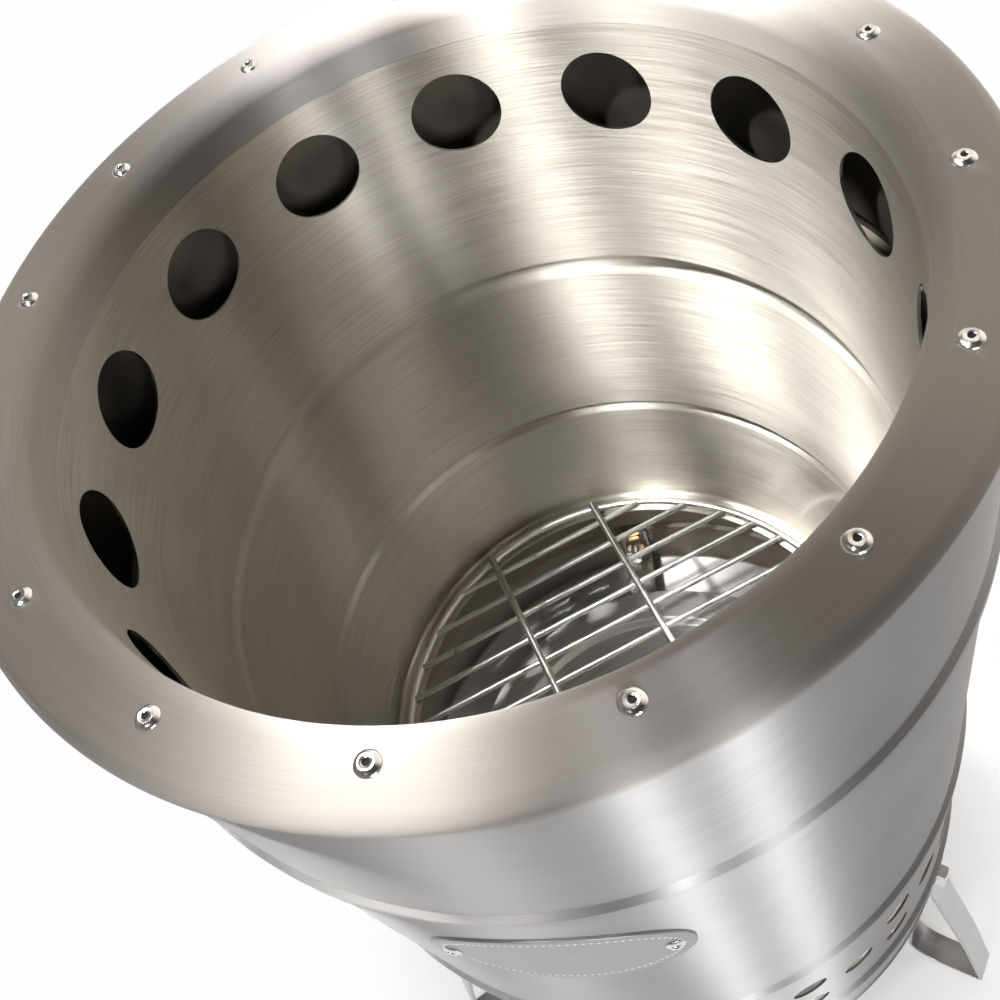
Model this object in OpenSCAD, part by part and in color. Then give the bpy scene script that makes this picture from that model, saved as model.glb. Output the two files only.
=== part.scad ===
// Fire barrel: a stainless drum hung inside a vented outer shell, on three strap feet.
// Heights are given as depths below the flat top of the rim. The origin is on the
// barrel's axis, on the plane that the feet stand on. The name plate faces -Y.

/* [Barrel] */
// Height of the rim's flat top above the ground
height = 700; // [660:5:760]
// Outside diameter of the outer shell's plain wall
shell_d = 363; // [330:1:400]
// Width of the air gap between the drum and the outer shell
jacket_w = 24.5; // [22:0.5:28]
// Thickness of the sheet that the rim, drum and shell are made of
sheet = 1.2; // [1:0.1:2]

/* [Rim] */
// Distance that the rim stands out past the shell's wall
rim_overhang = 3.5; // [2:0.1:8]
// Radius of the roll at the rim's outer edge
rim_outer_roll = 5.5; // [4:0.5:7]
// Radius of the roll where the rim turns down into the drum
rim_inner_roll = 9; // [7:0.5:11]
// Depth that the outer lip reaches down over the shell
rim_outer_lip = 13.5; // [11:0.5:20]
// Depth that the inner lip reaches down into the drum
rim_inner_lip = 20; // [15:0.5:24]

/* [Rivets] */
// Number of rivets round the rim
rivet_count = 15; // [9:1:24]
// Distance of the rim's rivets from the drum's wall
rivet_inset = 13; // [12:0.1:14]
// Direction of the first rivet, seen from above
rivet_az = 3.1; // [-12:0.1:12]
// Diameter of a rivet's head
rivet_head_d = 8; // [7:0.1:9]
// Height of a rivet's head
rivet_head_h = 1.7; // [1:0.1:2.5]
// Diameter of a rivet's body
rivet_d = 4; // [3.2:0.1:4.8]
// Diameter of the stem that stays inside a rivet
stem_d = 2.2; // [1.6:0.1:2.4]

/* [Drum] */
// Depth of the drum's upward-facing ledge, which carries the grate
drum_depth = 385; // [370:1:395]
// Width of the drum's ledge
ledge_w = 14.4; // [10:0.1:16]
// Number of round holes near the top of the drum
hole_count = 14; // [8:1:18]
// Diameter of each of these holes
hole_d = 40.6; // [20:0.2:46]
// Depth of the holes' centres
hole_depth = 54.5; // [48:0.5:80]
// Direction of the first hole, seen from above
hole_az = -6.2; // [-13:0.1:13]
// Depth where the drum's upper bead starts
upper_bead_depth = 155.5; // [120:0.5:200]
// Height of the upper bead
upper_bead_h = 15; // [8:0.5:20]
// Depth where the drum's lower bead starts
lower_bead_depth = 281; // [240:0.5:320]
// Height of the lower bead
lower_bead_h = 10.5; // [8:0.5:20]
// Distance that both beads are pressed out
bead_out = 2.5; // [1:0.1:4]

/* [Shell] */
// Depth of the shell's bottom edge
shell_depth = 525; // [505:1:540]
// Width of the flange that the bottom edge turns in to
shell_flange_w = 35.5; // [30:0.5:40]
// Depth where the upper ridge starts
upper_ridge_depth = 109; // [60:0.5:120]
// Height of the middle ridge's upper edge above the shell's bottom edge
middle_ridge_up = 191; // [180:0.5:200]
// Height of the lower ridge's upper edge above the shell's bottom edge
lower_ridge_up = 58; // [57:0.5:70]
// Height of each ridge
ridge_h = 12.5; // [8:0.5:13]
// Distance that the ridges stand out
ridge_out = 2.7; // [1:0.1:4]
// Height of the slope at each edge of a ridge
ridge_slope = 2.5; // [1:0.1:3.5]
// Height of the hem at the shell's bottom edge
hem_h = 5; // [3:0.5:8]
// Distance that the hem stands out
hem_out = 0.8; // [0.4:0.1:1.5]
// Diameter of each air hole in the shell
vent_d = 20; // [10:0.5:22]
// Height of the top row of air holes above the shell's bottom edge
vent_up = 131; // [129:0.5:145]
// Distance from one row of air holes to the next
vent_row_pitch = 21.5; // [12:0.5:23]
// Number of columns of paired air holes
vent_columns = 18; // [8:1:18]
// Direction of the first column of paired air holes, seen from above
vent_az = -62.3; // [-72:0.1:-52]

/* [Grate] */
// Gap between the grate's ring and the drum's wall
grate_gap = 7.1; // [2:0.1:9]
// Thickness of the ring's wire
ring_wire_d = 5; // [4:0.1:6]
// Thickness of the bars
bar_d = 3.8; // [3:0.1:4.5]
// Number of bars on each side of the middle bar
bars_each_side = 7; // [3:1:9]
// Distance from the last bar to the side of the ring
bar_edge_gap = 17.25; // [12:0.25:24]
// Thickness of the two cross bars
cross_bar_d = 4.5; // [3:0.1:6]
// Distance of each cross bar from the middle
cross_bar_offset = 38.6; // [20:0.1:60]
// Direction that the bars run in, seen from above
grate_az = 24.6; // [-90:0.1:90]

/* [Ash plate] */
// Gap between the ash plate and the edge of the ledge above it, seen from above
ash_plate_gap = 1.7; // [1:0.1:5]
// Thickness of the ash plate
ash_plate_t = 2; // [1.5:0.1:3]
// Height of the ash plate's top above the shell's bottom edge
ash_plate_up = 23; // [19:0.5:30]
// Width of the ash plate's raised rim
ash_rim_w = 22; // [15:0.5:40]
// Depth that the middle of the ash plate is pressed down
ash_dish = 4; // [1:0.5:8]

/* [Feet] */
// Width of the strap that the feet and brackets are bent from
strap_w = 20; // [16:0.5:24]
// Thickness of the strap
strap_t = 2.5; // [2:0.1:3]
// Direction of the first foot, seen from above
foot_az = -26.2; // [-60:0.1:60]
// Distance of the foot's tip out from the shell's wall
foot_tip_out = 45.5; // [38:0.5:58]
// Distance of the knee in the outer leg out from the shell's wall
foot_knee_out = 30; // [23:0.5:37]
// Depth of that knee
foot_knee_depth = 621; // [600:1:630]
// Distance of the foot's inner leg in from the shell's wall
foot_inner_in = 7; // [5:0.5:10]
// Radius of the bend at the foot of the inner leg
foot_inner_bend = 26; // [10:1:30]
// Height of the bend where the outer leg leaves the shell, above the shell's bottom edge
foot_bend_up = 18; // [13:1:25]
// Height of the bolt's axis above the shell's bottom edge
bolt_up = 37.5; // [33:0.5:39]
// Diameter of the bolt
bolt_d = 8; // [6:0.5:8]
// Width across the flats of the bolt's head and nut
bolt_flats = 13; // [10:0.5:14]
// Height of the bolt's head
bolt_head_h = 5.5; // [4:0.1:7]
// Length of the bolt under its head
bolt_len = 25; // [20:1:35]
// Height of the nut
nut_h = 6.5; // [5:0.1:8]
// Height of the top of the bracket inside the shell, above the shell's bottom edge
bracket_top_up = 49; // [47:0.5:51]
// Distance of the bracket's inner end in from the shell's wall
bracket_arm = 61.5; // [55:0.5:65]

/* [Name plate] */
// Width of the oval plate, measured straight across
plate_w = 103.5; // [80:0.5:120]
// Height of the oval plate
plate_h = 69; // [50:0.5:80]
// Thickness of the plate
plate_t = 1.2; // [0.8:0.1:2]
// Depth of the plate's centre
plate_depth = 182; // [165:0.5:280]
// Distance between the plate's two rivets, measured straight across
plate_rivet_spacing = 87; // [60:0.5:90]

/* [Hidden] */
$fn = 96;

// Number of feet, each with its own strap and bracket in the list above
foot_count = 3;

steel = "lightgray";
bright_steel = "silver";
dark_steel = "dimgray";

shell_r = shell_d / 2;
rim_r = shell_r + rim_overhang;
drum_r = shell_r - sheet - jacket_w - sheet;
rivet_circle_r = drum_r + rivet_inset;

// Gap between sheets that lie on each other
lap_gap = 0.15;
// Gap between a loose piece and what it rests on
seat_gap = 0.3;
// Gap between a strap and the wall that it is bolted to
strap_gap = 0.1;
// Radial clearance of a rivet in its hole, and of a stem in its rivet
rivet_clear = 0.1;
stem_clear = 0.05;
// A rivet's head from its bore out to its edge, as shares of its radius and height
rivet_crown = [[0.54, 1], [0.66, 0.82], [0.9, 0.55], [1, 0.2], [1, 0]];
// Tail that is pressed out under the sheets, and the height of its straight part
rivet_tail_d = rivet_d * 1.35;
rivet_tail_h = rivet_d * 0.7;
rivet_tail_side = rivet_tail_h * 0.7;
// Distance of the stem's end below the top of the rivet, and the stem's own head
stem_sunk = rivet_head_h * 0.6;
stem_head_d = rivet_d * 0.9;
stem_head_h = stem_d * 0.6;
// Radial clearance of a bolt in its holes, and in its nut
bolt_clear = 0.3;
thread_clear = 0.05;

// What the shell carries low down keeps its height above the shell's bottom edge
middle_ridge_depth = shell_depth - middle_ridge_up;
lower_ridge_depth = shell_depth - lower_ridge_up;
vent_depth = shell_depth - vent_up;
ash_plate_depth = shell_depth - ash_plate_up;
foot_bend_depth = shell_depth - foot_bend_up;
bolt_depth = shell_depth - bolt_up;
bracket_top_depth = shell_depth - bracket_top_up;

// Levels of the three sheets that the rivets hold together
drum_flange_z = -sheet - lap_gap;
shell_flange_z = drum_flange_z - sheet - lap_gap;
stack_bottom_z = shell_flange_z - sheet;
flange_overlap = 7.5;
shell_corner = 5;
drum_corner = 3;
// Steps in a bead and in a rounded corner, and sides of a wire
bead_steps = 8;
arc_steps = 8;
wire_sides = 32;
// Distance that cutters reach past what they cut
cut = 1;

ledge_r = drum_r - ledge_w;
grate_ring_r = drum_r - grate_gap - ring_wire_d / 2;
bar_pitch = (grate_ring_r - bar_edge_gap) / bars_each_side;
grate_z = -drum_depth + seat_gap + ring_wire_d / 2;
bar_z = grate_z + (ring_wire_d - bar_d) / 2;
weld_gap = 0.1;
cross_bar_z = bar_z + (bar_d + cross_bar_d) / 2 + weld_gap;
cross_bar_half = sqrt(pow(grate_ring_r, 2) - pow(cross_bar_offset, 2)) + ring_wire_d / 4;

ash_plate_r = ledge_r - ash_plate_gap;
// Slots in the plate's rim, just inside the rim's middle, with a notch and a small mark
ash_slot_len = 8;
ash_slot_w = 2.5;
ash_slot_turn = 45;
ash_slot_in = 1.5;
ash_slot_r = ash_plate_r - ash_rim_w / 2 - ash_slot_in;
ash_slot_az = -5.1;
ash_mark_az = 140.5;
ash_notch_r = 2.2;
ash_mark_r = 1.5;

strap_mid_r = shell_r + strap_gap + strap_t / 2;
foot_tip_r = shell_r + foot_tip_out;
foot_knee_r = shell_r + foot_knee_out;
foot_inner_r = shell_r - foot_inner_in;
bracket_end_r = shell_r - bracket_arm;
strap_top_gap = 1.5;
strap_top_depth = lower_ridge_depth + ridge_h + strap_top_gap;
// The strap is flat and the wall is round, so its two edges set how near it comes
bracket_face_r = sqrt(pow(shell_r - sheet - strap_gap, 2) - pow(strap_w / 2, 2));
bracket_r = bracket_face_r - strap_t / 2;
arm_z = -ash_plate_depth - ash_plate_t - seat_gap - strap_t / 2;
tab_z = -shell_depth - strap_gap - strap_t / 2;
tab_len = 22;
tab_rivet_r = foot_inner_r - tab_len / 2 - strap_t / 2;
strap_bend = 4;
foot_tip_bend = 3.5;
head_r = shell_r + strap_gap + strap_t + strap_gap;
nut_r = bracket_r - strap_t / 2 - strap_gap;

plate_bottom_r = shell_r + lap_gap;
plate_rivet_az = asin(plate_rivet_spacing / 2 / (plate_bottom_r + plate_t));
plate_az = -90;
oval_steps = 72;

// Points along an arc about a centre, from one angle to another
function arc(c, r, from, to) = [
    for (i = [0:arc_steps])
        let (a = from + (to - from) * i / arc_steps)
        c + r * [cos(a), sin(a)]
];

function reversed(list) = [for (i = [len(list) - 1:-1:0]) list[i]];

function unit(v) = v / norm(v);

function turned(v) = [-v[1], v[0]];

// A bead of the drum's wall, as points from its top to its bottom
function bead(depth, h, r) = [
    for (i = [0:bead_steps])
        [r + bead_out * (1 - cos(360 * i / bead_steps)) / 2, -depth - h * i / bead_steps]
];

// A ridge of the shell's wall, as points from its top to its bottom
function ridge(depth, r) = [
    [r, -depth],
    [r + ridge_out, -depth - ridge_slope],
    [r + ridge_out, -depth - ridge_h + ridge_slope],
    [r, -depth - ridge_h]
];

// The points of a rounded corner between two straight runs
function corner(before, at, after, r) =
    let (
        u = unit(before - at),
        w = unit(after - at),
        half = acos(u * w) / 2,
        c = at + unit(u + w) * r / sin(half),
        start = at + u * r / tan(half) - c,
        end = at + w * r / tan(half) - c,
        a = atan2(start[1], start[0]),
        turn = atan2(start[0] * end[1] - start[1] * end[0], start * end)
    )
    arc(c, r, a, a + turn);

// A bent strap's centre line, with each inner point rounded to its own radius
function bent(points, radii) = concat(
    [points[0]],
    [for (i = [1:len(points) - 2]) each corner(points[i - 1], points[i], points[i + 1], radii[i - 1])],
    [points[len(points) - 1]]
);

// The line that lies beside another, at a distance to its left
function beside(path, d) = [
    for (i = [0:len(path) - 1])
        let (
            before = i == 0 ? unit(path[1] - path[0]) : unit(path[i] - path[i - 1]),
            after = i == len(path) - 1 ? before : unit(path[i + 1] - path[i]),
            normal = unit(turned(before + after))
        )
        path[i] + normal * d / (normal * turned(before))
];

// A strap bent along a path in the radial plane, centred on that plane
module strap(path) {
    rotate([90, 0, 0])
        translate([0, 0, -strap_w / 2])
            linear_extrude(strap_w)
                polygon(concat(beside(path, strap_t / 2), reversed(beside(path, -strap_t / 2))));
}

// Puts a piece at a direction round the barrel, at rim height
module around(az) {
    translate([0, 0, height])
        rotate([0, 0, az])
            children();
}

// A rod or hole along the radius, at a depth
module radial(r_from, r_to, depth, d) {
    translate([r_from, 0, -depth])
        rotate([0, 90, 0])
            cylinder(h = r_to - r_from, d = d);
}

// Blind rivet with its head up, its seat at zero and its tail under the stack
module blind_rivet(stack) {
    bore_r = stem_d / 2 + stem_clear;
    rotate_extrude()
        polygon([
            [bore_r, rivet_head_h],
            for (p = rivet_crown) [p[0] * rivet_head_d / 2, p[1] * rivet_head_h],
            [rivet_d / 2, 0],
            [rivet_d / 2, -stack],
            [rivet_tail_d / 2, -stack - lap_gap / 2],
            [rivet_tail_d / 2, -stack - rivet_tail_side],
            [rivet_d / 2, -stack - rivet_tail_h],
            [bore_r, -stack - rivet_tail_h]
        ]);
}

// What is left of the stem in a blind rivet, with its head under the tail
module rivet_stem(stack) {
    bottom = -stack - rivet_tail_h - stem_clear;
    translate([0, 0, bottom])
        cylinder(h = -bottom - stem_sunk, d = stem_d);
    translate([0, 0, bottom - stem_head_h])
        cylinder(h = stem_head_h, d = stem_head_d);
}

// Places its children at each rivet of the rim
module at_rim_rivets() {
    for (i = [0:rivet_count - 1])
        around(rivet_az + 360 * i / rivet_count)
            translate([rivet_circle_r, 0, 0])
                children();
}

// Places its children at each rivet of the feet's inner tabs, head down
module at_foot_rivets() {
    for (i = [0:foot_count - 1])
        around(foot_az + 360 * i / foot_count)
            translate([tab_rivet_r, 0, tab_z - strap_t / 2])
                rotate([180, 0, 0])
                    children();
}

// Places its children at the name plate's two rivets, head out
module at_plate_rivets() {
    for (side = [-1, 1])
        around(plate_az + side * plate_rivet_az)
            translate([plate_bottom_r + plate_t, 0, -plate_depth])
                rotate([0, 90, 0])
                    children();
}

// Rivet holes through the rim's stack of sheets
module rim_rivet_holes() {
    at_rim_rivets()
        translate([0, 0, stack_bottom_z - cut])
            cylinder(h = cut - stack_bottom_z + cut, r = rivet_d / 2 + rivet_clear);
}

// Rim: a flat ring, rolled down over the shell outside and into the drum inside
module rim_ring() {
    out_c = [rim_r - rim_outer_roll, -rim_outer_roll];
    in_c = [drum_r + rim_inner_roll, -rim_inner_roll];
    lip_r = shell_r + lap_gap;
    color(steel)
        difference() {
            translate([0, 0, height])
                rotate_extrude()
                    polygon(concat(
                        [[drum_r, -rim_inner_lip]],
                        arc(in_c, rim_inner_roll, 180, 90),
                        arc(out_c, rim_outer_roll, 90, 0),
                        [[lip_r + sheet, -rim_outer_lip], [lip_r, -rim_outer_lip]],
                        arc(out_c, rim_outer_roll - sheet, 0, 90),
                        arc(in_c, rim_inner_roll - sheet, 90, 180),
                        [[drum_r + sheet, -rim_inner_lip]]
                    ));
            rim_rivet_holes();
        }
}

// Drum: the fire's own wall, with a riveted flange, holes, two beads and a ledge
module drum() {
    roll = rim_inner_roll - sheet - lap_gap;
    in_c = [drum_r + rim_inner_roll, -rim_inner_roll];
    lap_r = drum_r + sheet + lap_gap;
    lap_z = -rim_inner_lip - lap_gap;
    flange_r = rivet_circle_r + flange_overlap;
    inner = concat(
        [[flange_r, drum_flange_z]],
        arc(in_c, roll, 90, 180),
        [[lap_r, lap_z], [drum_r, lap_z]],
        bead(upper_bead_depth, upper_bead_h, drum_r),
        bead(lower_bead_depth, lower_bead_h, drum_r),
        arc([drum_r - drum_corner, -drum_depth + drum_corner], drum_corner, 0, -90),
        [[ledge_r, -drum_depth]]
    );
    outer_low = concat(
        [[ledge_r, -drum_depth - sheet]],
        arc([drum_r - drum_corner, -drum_depth + drum_corner], drum_corner + sheet, -90, 0),
        reversed(bead(lower_bead_depth, lower_bead_h, drum_r + sheet)),
        reversed(bead(upper_bead_depth, upper_bead_h, drum_r + sheet))
    );
    outer_top = concat(
        [[drum_r + sheet, lap_z - sheet], [lap_r + sheet, lap_z]],
        arc(in_c, roll - sheet, 180, 90),
        [[flange_r, drum_flange_z - sheet]]
    );
    color(steel)
        difference() {
            translate([0, 0, height])
                rotate_extrude()
                    polygon(concat(inner, outer_low, outer_top));
            rim_rivet_holes();
            for (i = [0:hole_count - 1])
                around(hole_az + 360 * i / hole_count)
                    radial(ledge_r, shell_r, hole_depth, hole_d);
        }
}

// The air holes: pairs in every column, and single ones between the columns
module vents() {
    step = 360 / vent_columns;
    for (i = [0:vent_columns - 1]) {
        around(vent_az + step * i) {
            radial(drum_r, rim_r, vent_depth, vent_d);
            radial(drum_r, rim_r, vent_depth + 2 * vent_row_pitch, vent_d);
        }
        around(vent_az + step * (i + 0.5))
            radial(drum_r, rim_r, vent_depth + vent_row_pitch, vent_d);
    }
}

// Shell: outer wall with a riveted top flange, three ridges, air holes and a flanged foot
module outer_shell() {
    inner_r = shell_r - sheet;
    top_r = drum_r + rim_inner_roll;
    top_c = [shell_r - shell_corner, shell_flange_z - shell_corner];
    foot_c = [shell_r + hem_out - drum_corner, -shell_depth + drum_corner];
    outer = concat(
        [[top_r, shell_flange_z]],
        arc(top_c, shell_corner, 90, 0),
        ridge(upper_ridge_depth, shell_r),
        ridge(middle_ridge_depth, shell_r),
        ridge(lower_ridge_depth, shell_r),
        [[shell_r, -shell_depth + hem_h + hem_out], [shell_r + hem_out, -shell_depth + hem_h]],
        arc(foot_c, drum_corner, 0, -90),
        [[inner_r - shell_flange_w, -shell_depth]]
    );
    inner = concat(
        [[inner_r - shell_flange_w, -shell_depth + sheet]],
        arc(foot_c, drum_corner - sheet, -90, 0),
        [[inner_r + hem_out, -shell_depth + hem_h], [inner_r, -shell_depth + hem_h + hem_out]],
        reversed(ridge(lower_ridge_depth, inner_r)),
        reversed(ridge(middle_ridge_depth, inner_r)),
        reversed(ridge(upper_ridge_depth, inner_r)),
        arc(top_c, shell_corner - sheet, 0, 90),
        [[top_r, stack_bottom_z]]
    );
    color(bright_steel)
        difference() {
            translate([0, 0, height])
                rotate_extrude()
                    polygon(concat(outer, inner));
            rim_rivet_holes();
            vents();
            for (i = [0:foot_count - 1])
                around(foot_az + 360 * i / foot_count)
                    radial(drum_r, rim_r, bolt_depth, bolt_d + 2 * bolt_clear);
            at_foot_rivets()
                translate([0, 0, -strap_t - sheet - cut])
                    cylinder(h = strap_t + sheet + 2 * cut, r = rivet_d / 2 + rivet_clear);
            at_plate_rivets()
                translate([0, 0, -plate_t - sheet - cut])
                    cylinder(h = plate_t + sheet + 2 * cut, r = rivet_d / 2 + rivet_clear);
        }
}

module rim_rivets() {
    color(bright_steel)
        at_rim_rivets()
            blind_rivet(-stack_bottom_z);
}

module rim_rivet_stems() {
    color(dark_steel)
        at_rim_rivets()
            rivet_stem(-stack_bottom_z);
}

// Ring of the grate, which rests on the drum's ledge
module ring_wire(gap) {
    rotate_extrude()
        translate([grate_ring_r, 0])
            circle(d = ring_wire_d + 2 * gap, $fn = wire_sides);
}

module grate_ring() {
    color(bright_steel)
        around(grate_az)
            translate([0, 0, grate_z])
                ring_wire(0);
}

// Bars of the grate, welded in between the two sides of the ring
module grate_bars() {
    color(bright_steel)
        around(grate_az)
            difference() {
                for (i = [-bars_each_side:bars_each_side]) {
                    y = i * bar_pitch;
                    half = sqrt(pow(grate_ring_r, 2) - pow(y, 2));
                    translate([-half, y, bar_z])
                        rotate([0, 90, 0])
                            cylinder(h = 2 * half, d = bar_d, $fn = wire_sides);
                }
                translate([0, 0, grate_z])
                    ring_wire(weld_gap);
            }
}

// The two bars that lie across the others
module grate_cross_bars() {
    color(bright_steel)
        around(grate_az)
            for (side = [-1, 1])
                translate([side * cross_bar_offset, -cross_bar_half, cross_bar_z])
                    rotate([-90, 0, 0])
                        cylinder(h = 2 * cross_bar_half, d = cross_bar_d, $fn = wire_sides);
}

// Ash plate: a shallow dish with slots to hook it out by
module ash_plate() {
    top = -ash_plate_depth;
    flat_r = ash_plate_r - ash_rim_w;
    dish_r = flat_r - ash_dish;
    color(steel)
        difference() {
            translate([0, 0, height])
                rotate_extrude()
                    polygon([
                        [0, top - ash_dish],
                        [dish_r, top - ash_dish],
                        [flat_r, top],
                        [ash_plate_r, top],
                        [ash_plate_r, top - ash_plate_t],
                        [flat_r, top - ash_plate_t],
                        [dish_r, top - ash_dish - ash_plate_t],
                        [0, top - ash_dish - ash_plate_t]
                    ]);
            for (i = [0:foot_count - 1])
                around(foot_az + ash_slot_az + 360 * i / foot_count)
                    translate([ash_slot_r, 0, top])
                        rotate([0, 0, ash_slot_turn])
                            cube([ash_slot_len, ash_slot_w, 4 * ash_plate_t], center = true);
            around(ash_mark_az)
                translate([ash_plate_r, 0, top - 2 * ash_plate_t])
                    cylinder(h = 4 * ash_plate_t, r = ash_notch_r);
            around(ash_mark_az)
                translate([ash_plate_r - 3 * ash_notch_r, 0, top - 2 * ash_plate_t])
                    cylinder(h = 4 * ash_plate_t, r = ash_mark_r);
        }
}

// Bracket bolted inside the shell, whose arm carries the ash plate
module ash_bracket(i) {
    path = bent([[bracket_r, -bracket_top_depth], [bracket_r, arm_z], [bracket_end_r, arm_z]], [strap_bend]);
    color(steel)
        around(foot_az + 360 * i / foot_count)
            difference() {
                strap(path);
                radial(bracket_r - strap_t, bracket_r + strap_t, bolt_depth, bolt_d + 2 * bolt_clear);
            }
}

// Foot: a strap bent to a closed loop, bolted to the wall and riveted to the flange
module foot(i) {
    floor_z = -height + strap_t / 2;
    path = bent(
        [
            [strap_mid_r, -strap_top_depth],
            [strap_mid_r, -foot_bend_depth],
            [foot_knee_r, -foot_knee_depth],
            [foot_tip_r, floor_z],
            [foot_inner_r, floor_z],
            [foot_inner_r, tab_z],
            [foot_inner_r - tab_len, tab_z]
        ],
        [2 * strap_bend, 6 * strap_bend, foot_tip_bend, foot_inner_bend, strap_bend]
    );
    color(bright_steel)
        around(foot_az + 360 * i / foot_count)
            difference() {
                strap(path);
                radial(strap_mid_r - strap_t, strap_mid_r + strap_t, bolt_depth, bolt_d + 2 * bolt_clear);
                translate([tab_rivet_r, 0, tab_z - strap_t])
                    cylinder(h = 2 * strap_t, r = rivet_d / 2 + rivet_clear);
            }
}

module ash_bracket_1() { ash_bracket(0); }
module ash_bracket_2() { ash_bracket(1); }
module ash_bracket_3() { ash_bracket(2); }
module foot_1() { foot(0); }
module foot_2() { foot(1); }
module foot_3() { foot(2); }

// Bolts that clamp foot, shell and bracket together, with their heads outside
module foot_bolts() {
    color("whitesmoke")
        for (i = [0:foot_count - 1])
            around(foot_az + 360 * i / foot_count)
                translate([head_r, 0, -bolt_depth])
                    rotate([0, 90, 0]) {
                        cylinder(h = bolt_head_h, d = bolt_flats / cos(30), $fn = 6);
                        translate([0, 0, -bolt_len])
                            cylinder(h = bolt_len, d = bolt_d);
                    }
}

module foot_nuts() {
    color("goldenrod")
        for (i = [0:foot_count - 1])
            around(foot_az + 360 * i / foot_count)
                translate([nut_r - nut_h, 0, -bolt_depth])
                    rotate([0, 90, 0])
                        difference() {
                            cylinder(h = nut_h, d = bolt_flats / cos(30), $fn = 6);
                            translate([0, 0, -cut])
                                cylinder(h = nut_h + 2 * cut, d = bolt_d + 2 * thread_clear);
                        }
}

module foot_rivets() {
    color(bright_steel)
        at_foot_rivets()
            blind_rivet(strap_t + strap_gap + sheet);
}

module foot_rivet_stems() {
    color(dark_steel)
        at_foot_rivets()
            rivet_stem(strap_t + strap_gap + sheet);
}

// Name plate: a blank oval, curved to lie on the shell
module name_plate() {
    oval = [for (i = [0:oval_steps - 1])
        [plate_w / 2 * cos(360 * i / oval_steps), plate_h / 2 * sin(360 * i / oval_steps)]];
    color("gainsboro")
        difference() {
            intersection() {
                translate([0, 0, height - plate_depth - plate_h])
                    difference() {
                        cylinder(h = 2 * plate_h, r = plate_bottom_r + plate_t);
                        translate([0, 0, -cut])
                            cylinder(h = 2 * plate_h + 2 * cut, r = plate_bottom_r);
                    }
                translate([0, 0, height - plate_depth])
                    rotate([90, 0, 0])
                        linear_extrude(rim_r)
                            polygon(oval);
            }
            at_plate_rivets()
                translate([0, 0, -plate_t - cut])
                    cylinder(h = plate_t + 2 * cut, r = rivet_d / 2 + rivet_clear);
        }
}

module plate_rivets() {
    color(bright_steel)
        at_plate_rivets()
            blind_rivet(plate_t + lap_gap + sheet);
}

module plate_rivet_stems() {
    color(dark_steel)
        at_plate_rivets()
            rivet_stem(plate_t + lap_gap + sheet);
}

rim_ring();
drum();
outer_shell();
rim_rivets();
rim_rivet_stems();
grate_ring();
grate_bars();
grate_cross_bars();
ash_plate();
ash_bracket_1();
ash_bracket_2();
ash_bracket_3();
foot_1();
foot_2();
foot_3();
foot_bolts();
foot_nuts();
foot_rivets();
foot_rivet_stems();
name_plate();
plate_rivets();
plate_rivet_stems();
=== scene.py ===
# Fire barrel: the stainless finish, the rolled and perforated sheet metal, and the studio round it.
# Sizes are in metres in the frame of the packed model, and depths are measured down from the rim.

import bpy
import numpy as np
from math import asin, atan2, cos, hypot, pi, radians, sin, sqrt, tan

from mathutils import Matrix, Vector


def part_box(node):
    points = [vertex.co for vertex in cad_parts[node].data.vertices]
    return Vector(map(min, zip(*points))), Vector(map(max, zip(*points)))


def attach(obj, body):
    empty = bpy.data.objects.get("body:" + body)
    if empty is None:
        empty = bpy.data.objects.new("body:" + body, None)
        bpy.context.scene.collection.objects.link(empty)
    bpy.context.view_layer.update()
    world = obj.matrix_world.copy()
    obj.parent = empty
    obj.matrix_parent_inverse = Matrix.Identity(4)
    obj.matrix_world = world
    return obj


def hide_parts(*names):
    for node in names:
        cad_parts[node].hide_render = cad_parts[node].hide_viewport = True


bl_info = {
    "name": "Fire Barrel",
    "version": (1, 0, 0),
    "blender": (4, 5, 0),
    "location": "View3D > Sidebar > Barrel",
    "description": "Builds a stainless fire barrel and the studio that it stands in",
    "category": "Object",
}

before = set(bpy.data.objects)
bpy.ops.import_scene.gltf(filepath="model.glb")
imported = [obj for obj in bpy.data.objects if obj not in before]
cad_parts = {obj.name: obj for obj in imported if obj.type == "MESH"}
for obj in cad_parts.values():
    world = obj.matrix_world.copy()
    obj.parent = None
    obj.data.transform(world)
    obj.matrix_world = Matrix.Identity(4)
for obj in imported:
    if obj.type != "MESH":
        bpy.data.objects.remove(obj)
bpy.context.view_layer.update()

RIM_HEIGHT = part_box("rim_ring")[1].z
COLUMNS = 288
SMALL_COLUMNS = 192
ARC_STEP = radians(9)
BEAD_STEPS = 20
FINISH_PREFIX = "finish_"
# Edges sharper than this stay sharp, on sheet, bars, the name plate and hexagons
SMOOTH_LIMIT = radians(32)
BAR_LIMIT = radians(40)
PLATE_LIMIT = radians(50)
HEX_LIMIT = radians(15)
# Points nearer to the axis than this lie on it
ON_AXIS = 1e-9
# Clearance round a stem in its rivet and round a bolt in its nut
FIT = 0.00005


def length(label, value, says):
    """A size in metres that a user may change."""
    return bpy.props.FloatProperty(
        name=label, description=says, default=value, min=0.0, precision=5, unit="LENGTH"
    )


def turn(label, value, says):
    """An angle that is written here in degrees."""
    return bpy.props.FloatProperty(
        name=label, description=says, default=radians(value), subtype="ANGLE"
    )


def share(label, value, says):
    """A number from 0 to 1."""
    return bpy.props.FloatProperty(
        name=label, description=says, default=value, min=0.0, max=1.0, subtype="FACTOR"
    )


def number(label, value, says):
    """A count of like pieces."""
    return bpy.props.IntProperty(name=label, description=says, default=value, min=1)


def colour(label, value, says):
    """A colour in linear light."""
    return bpy.props.FloatVectorProperty(
        name=label, description=says, default=value, min=0.0, max=1.0, size=3, subtype="COLOR"
    )


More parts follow.
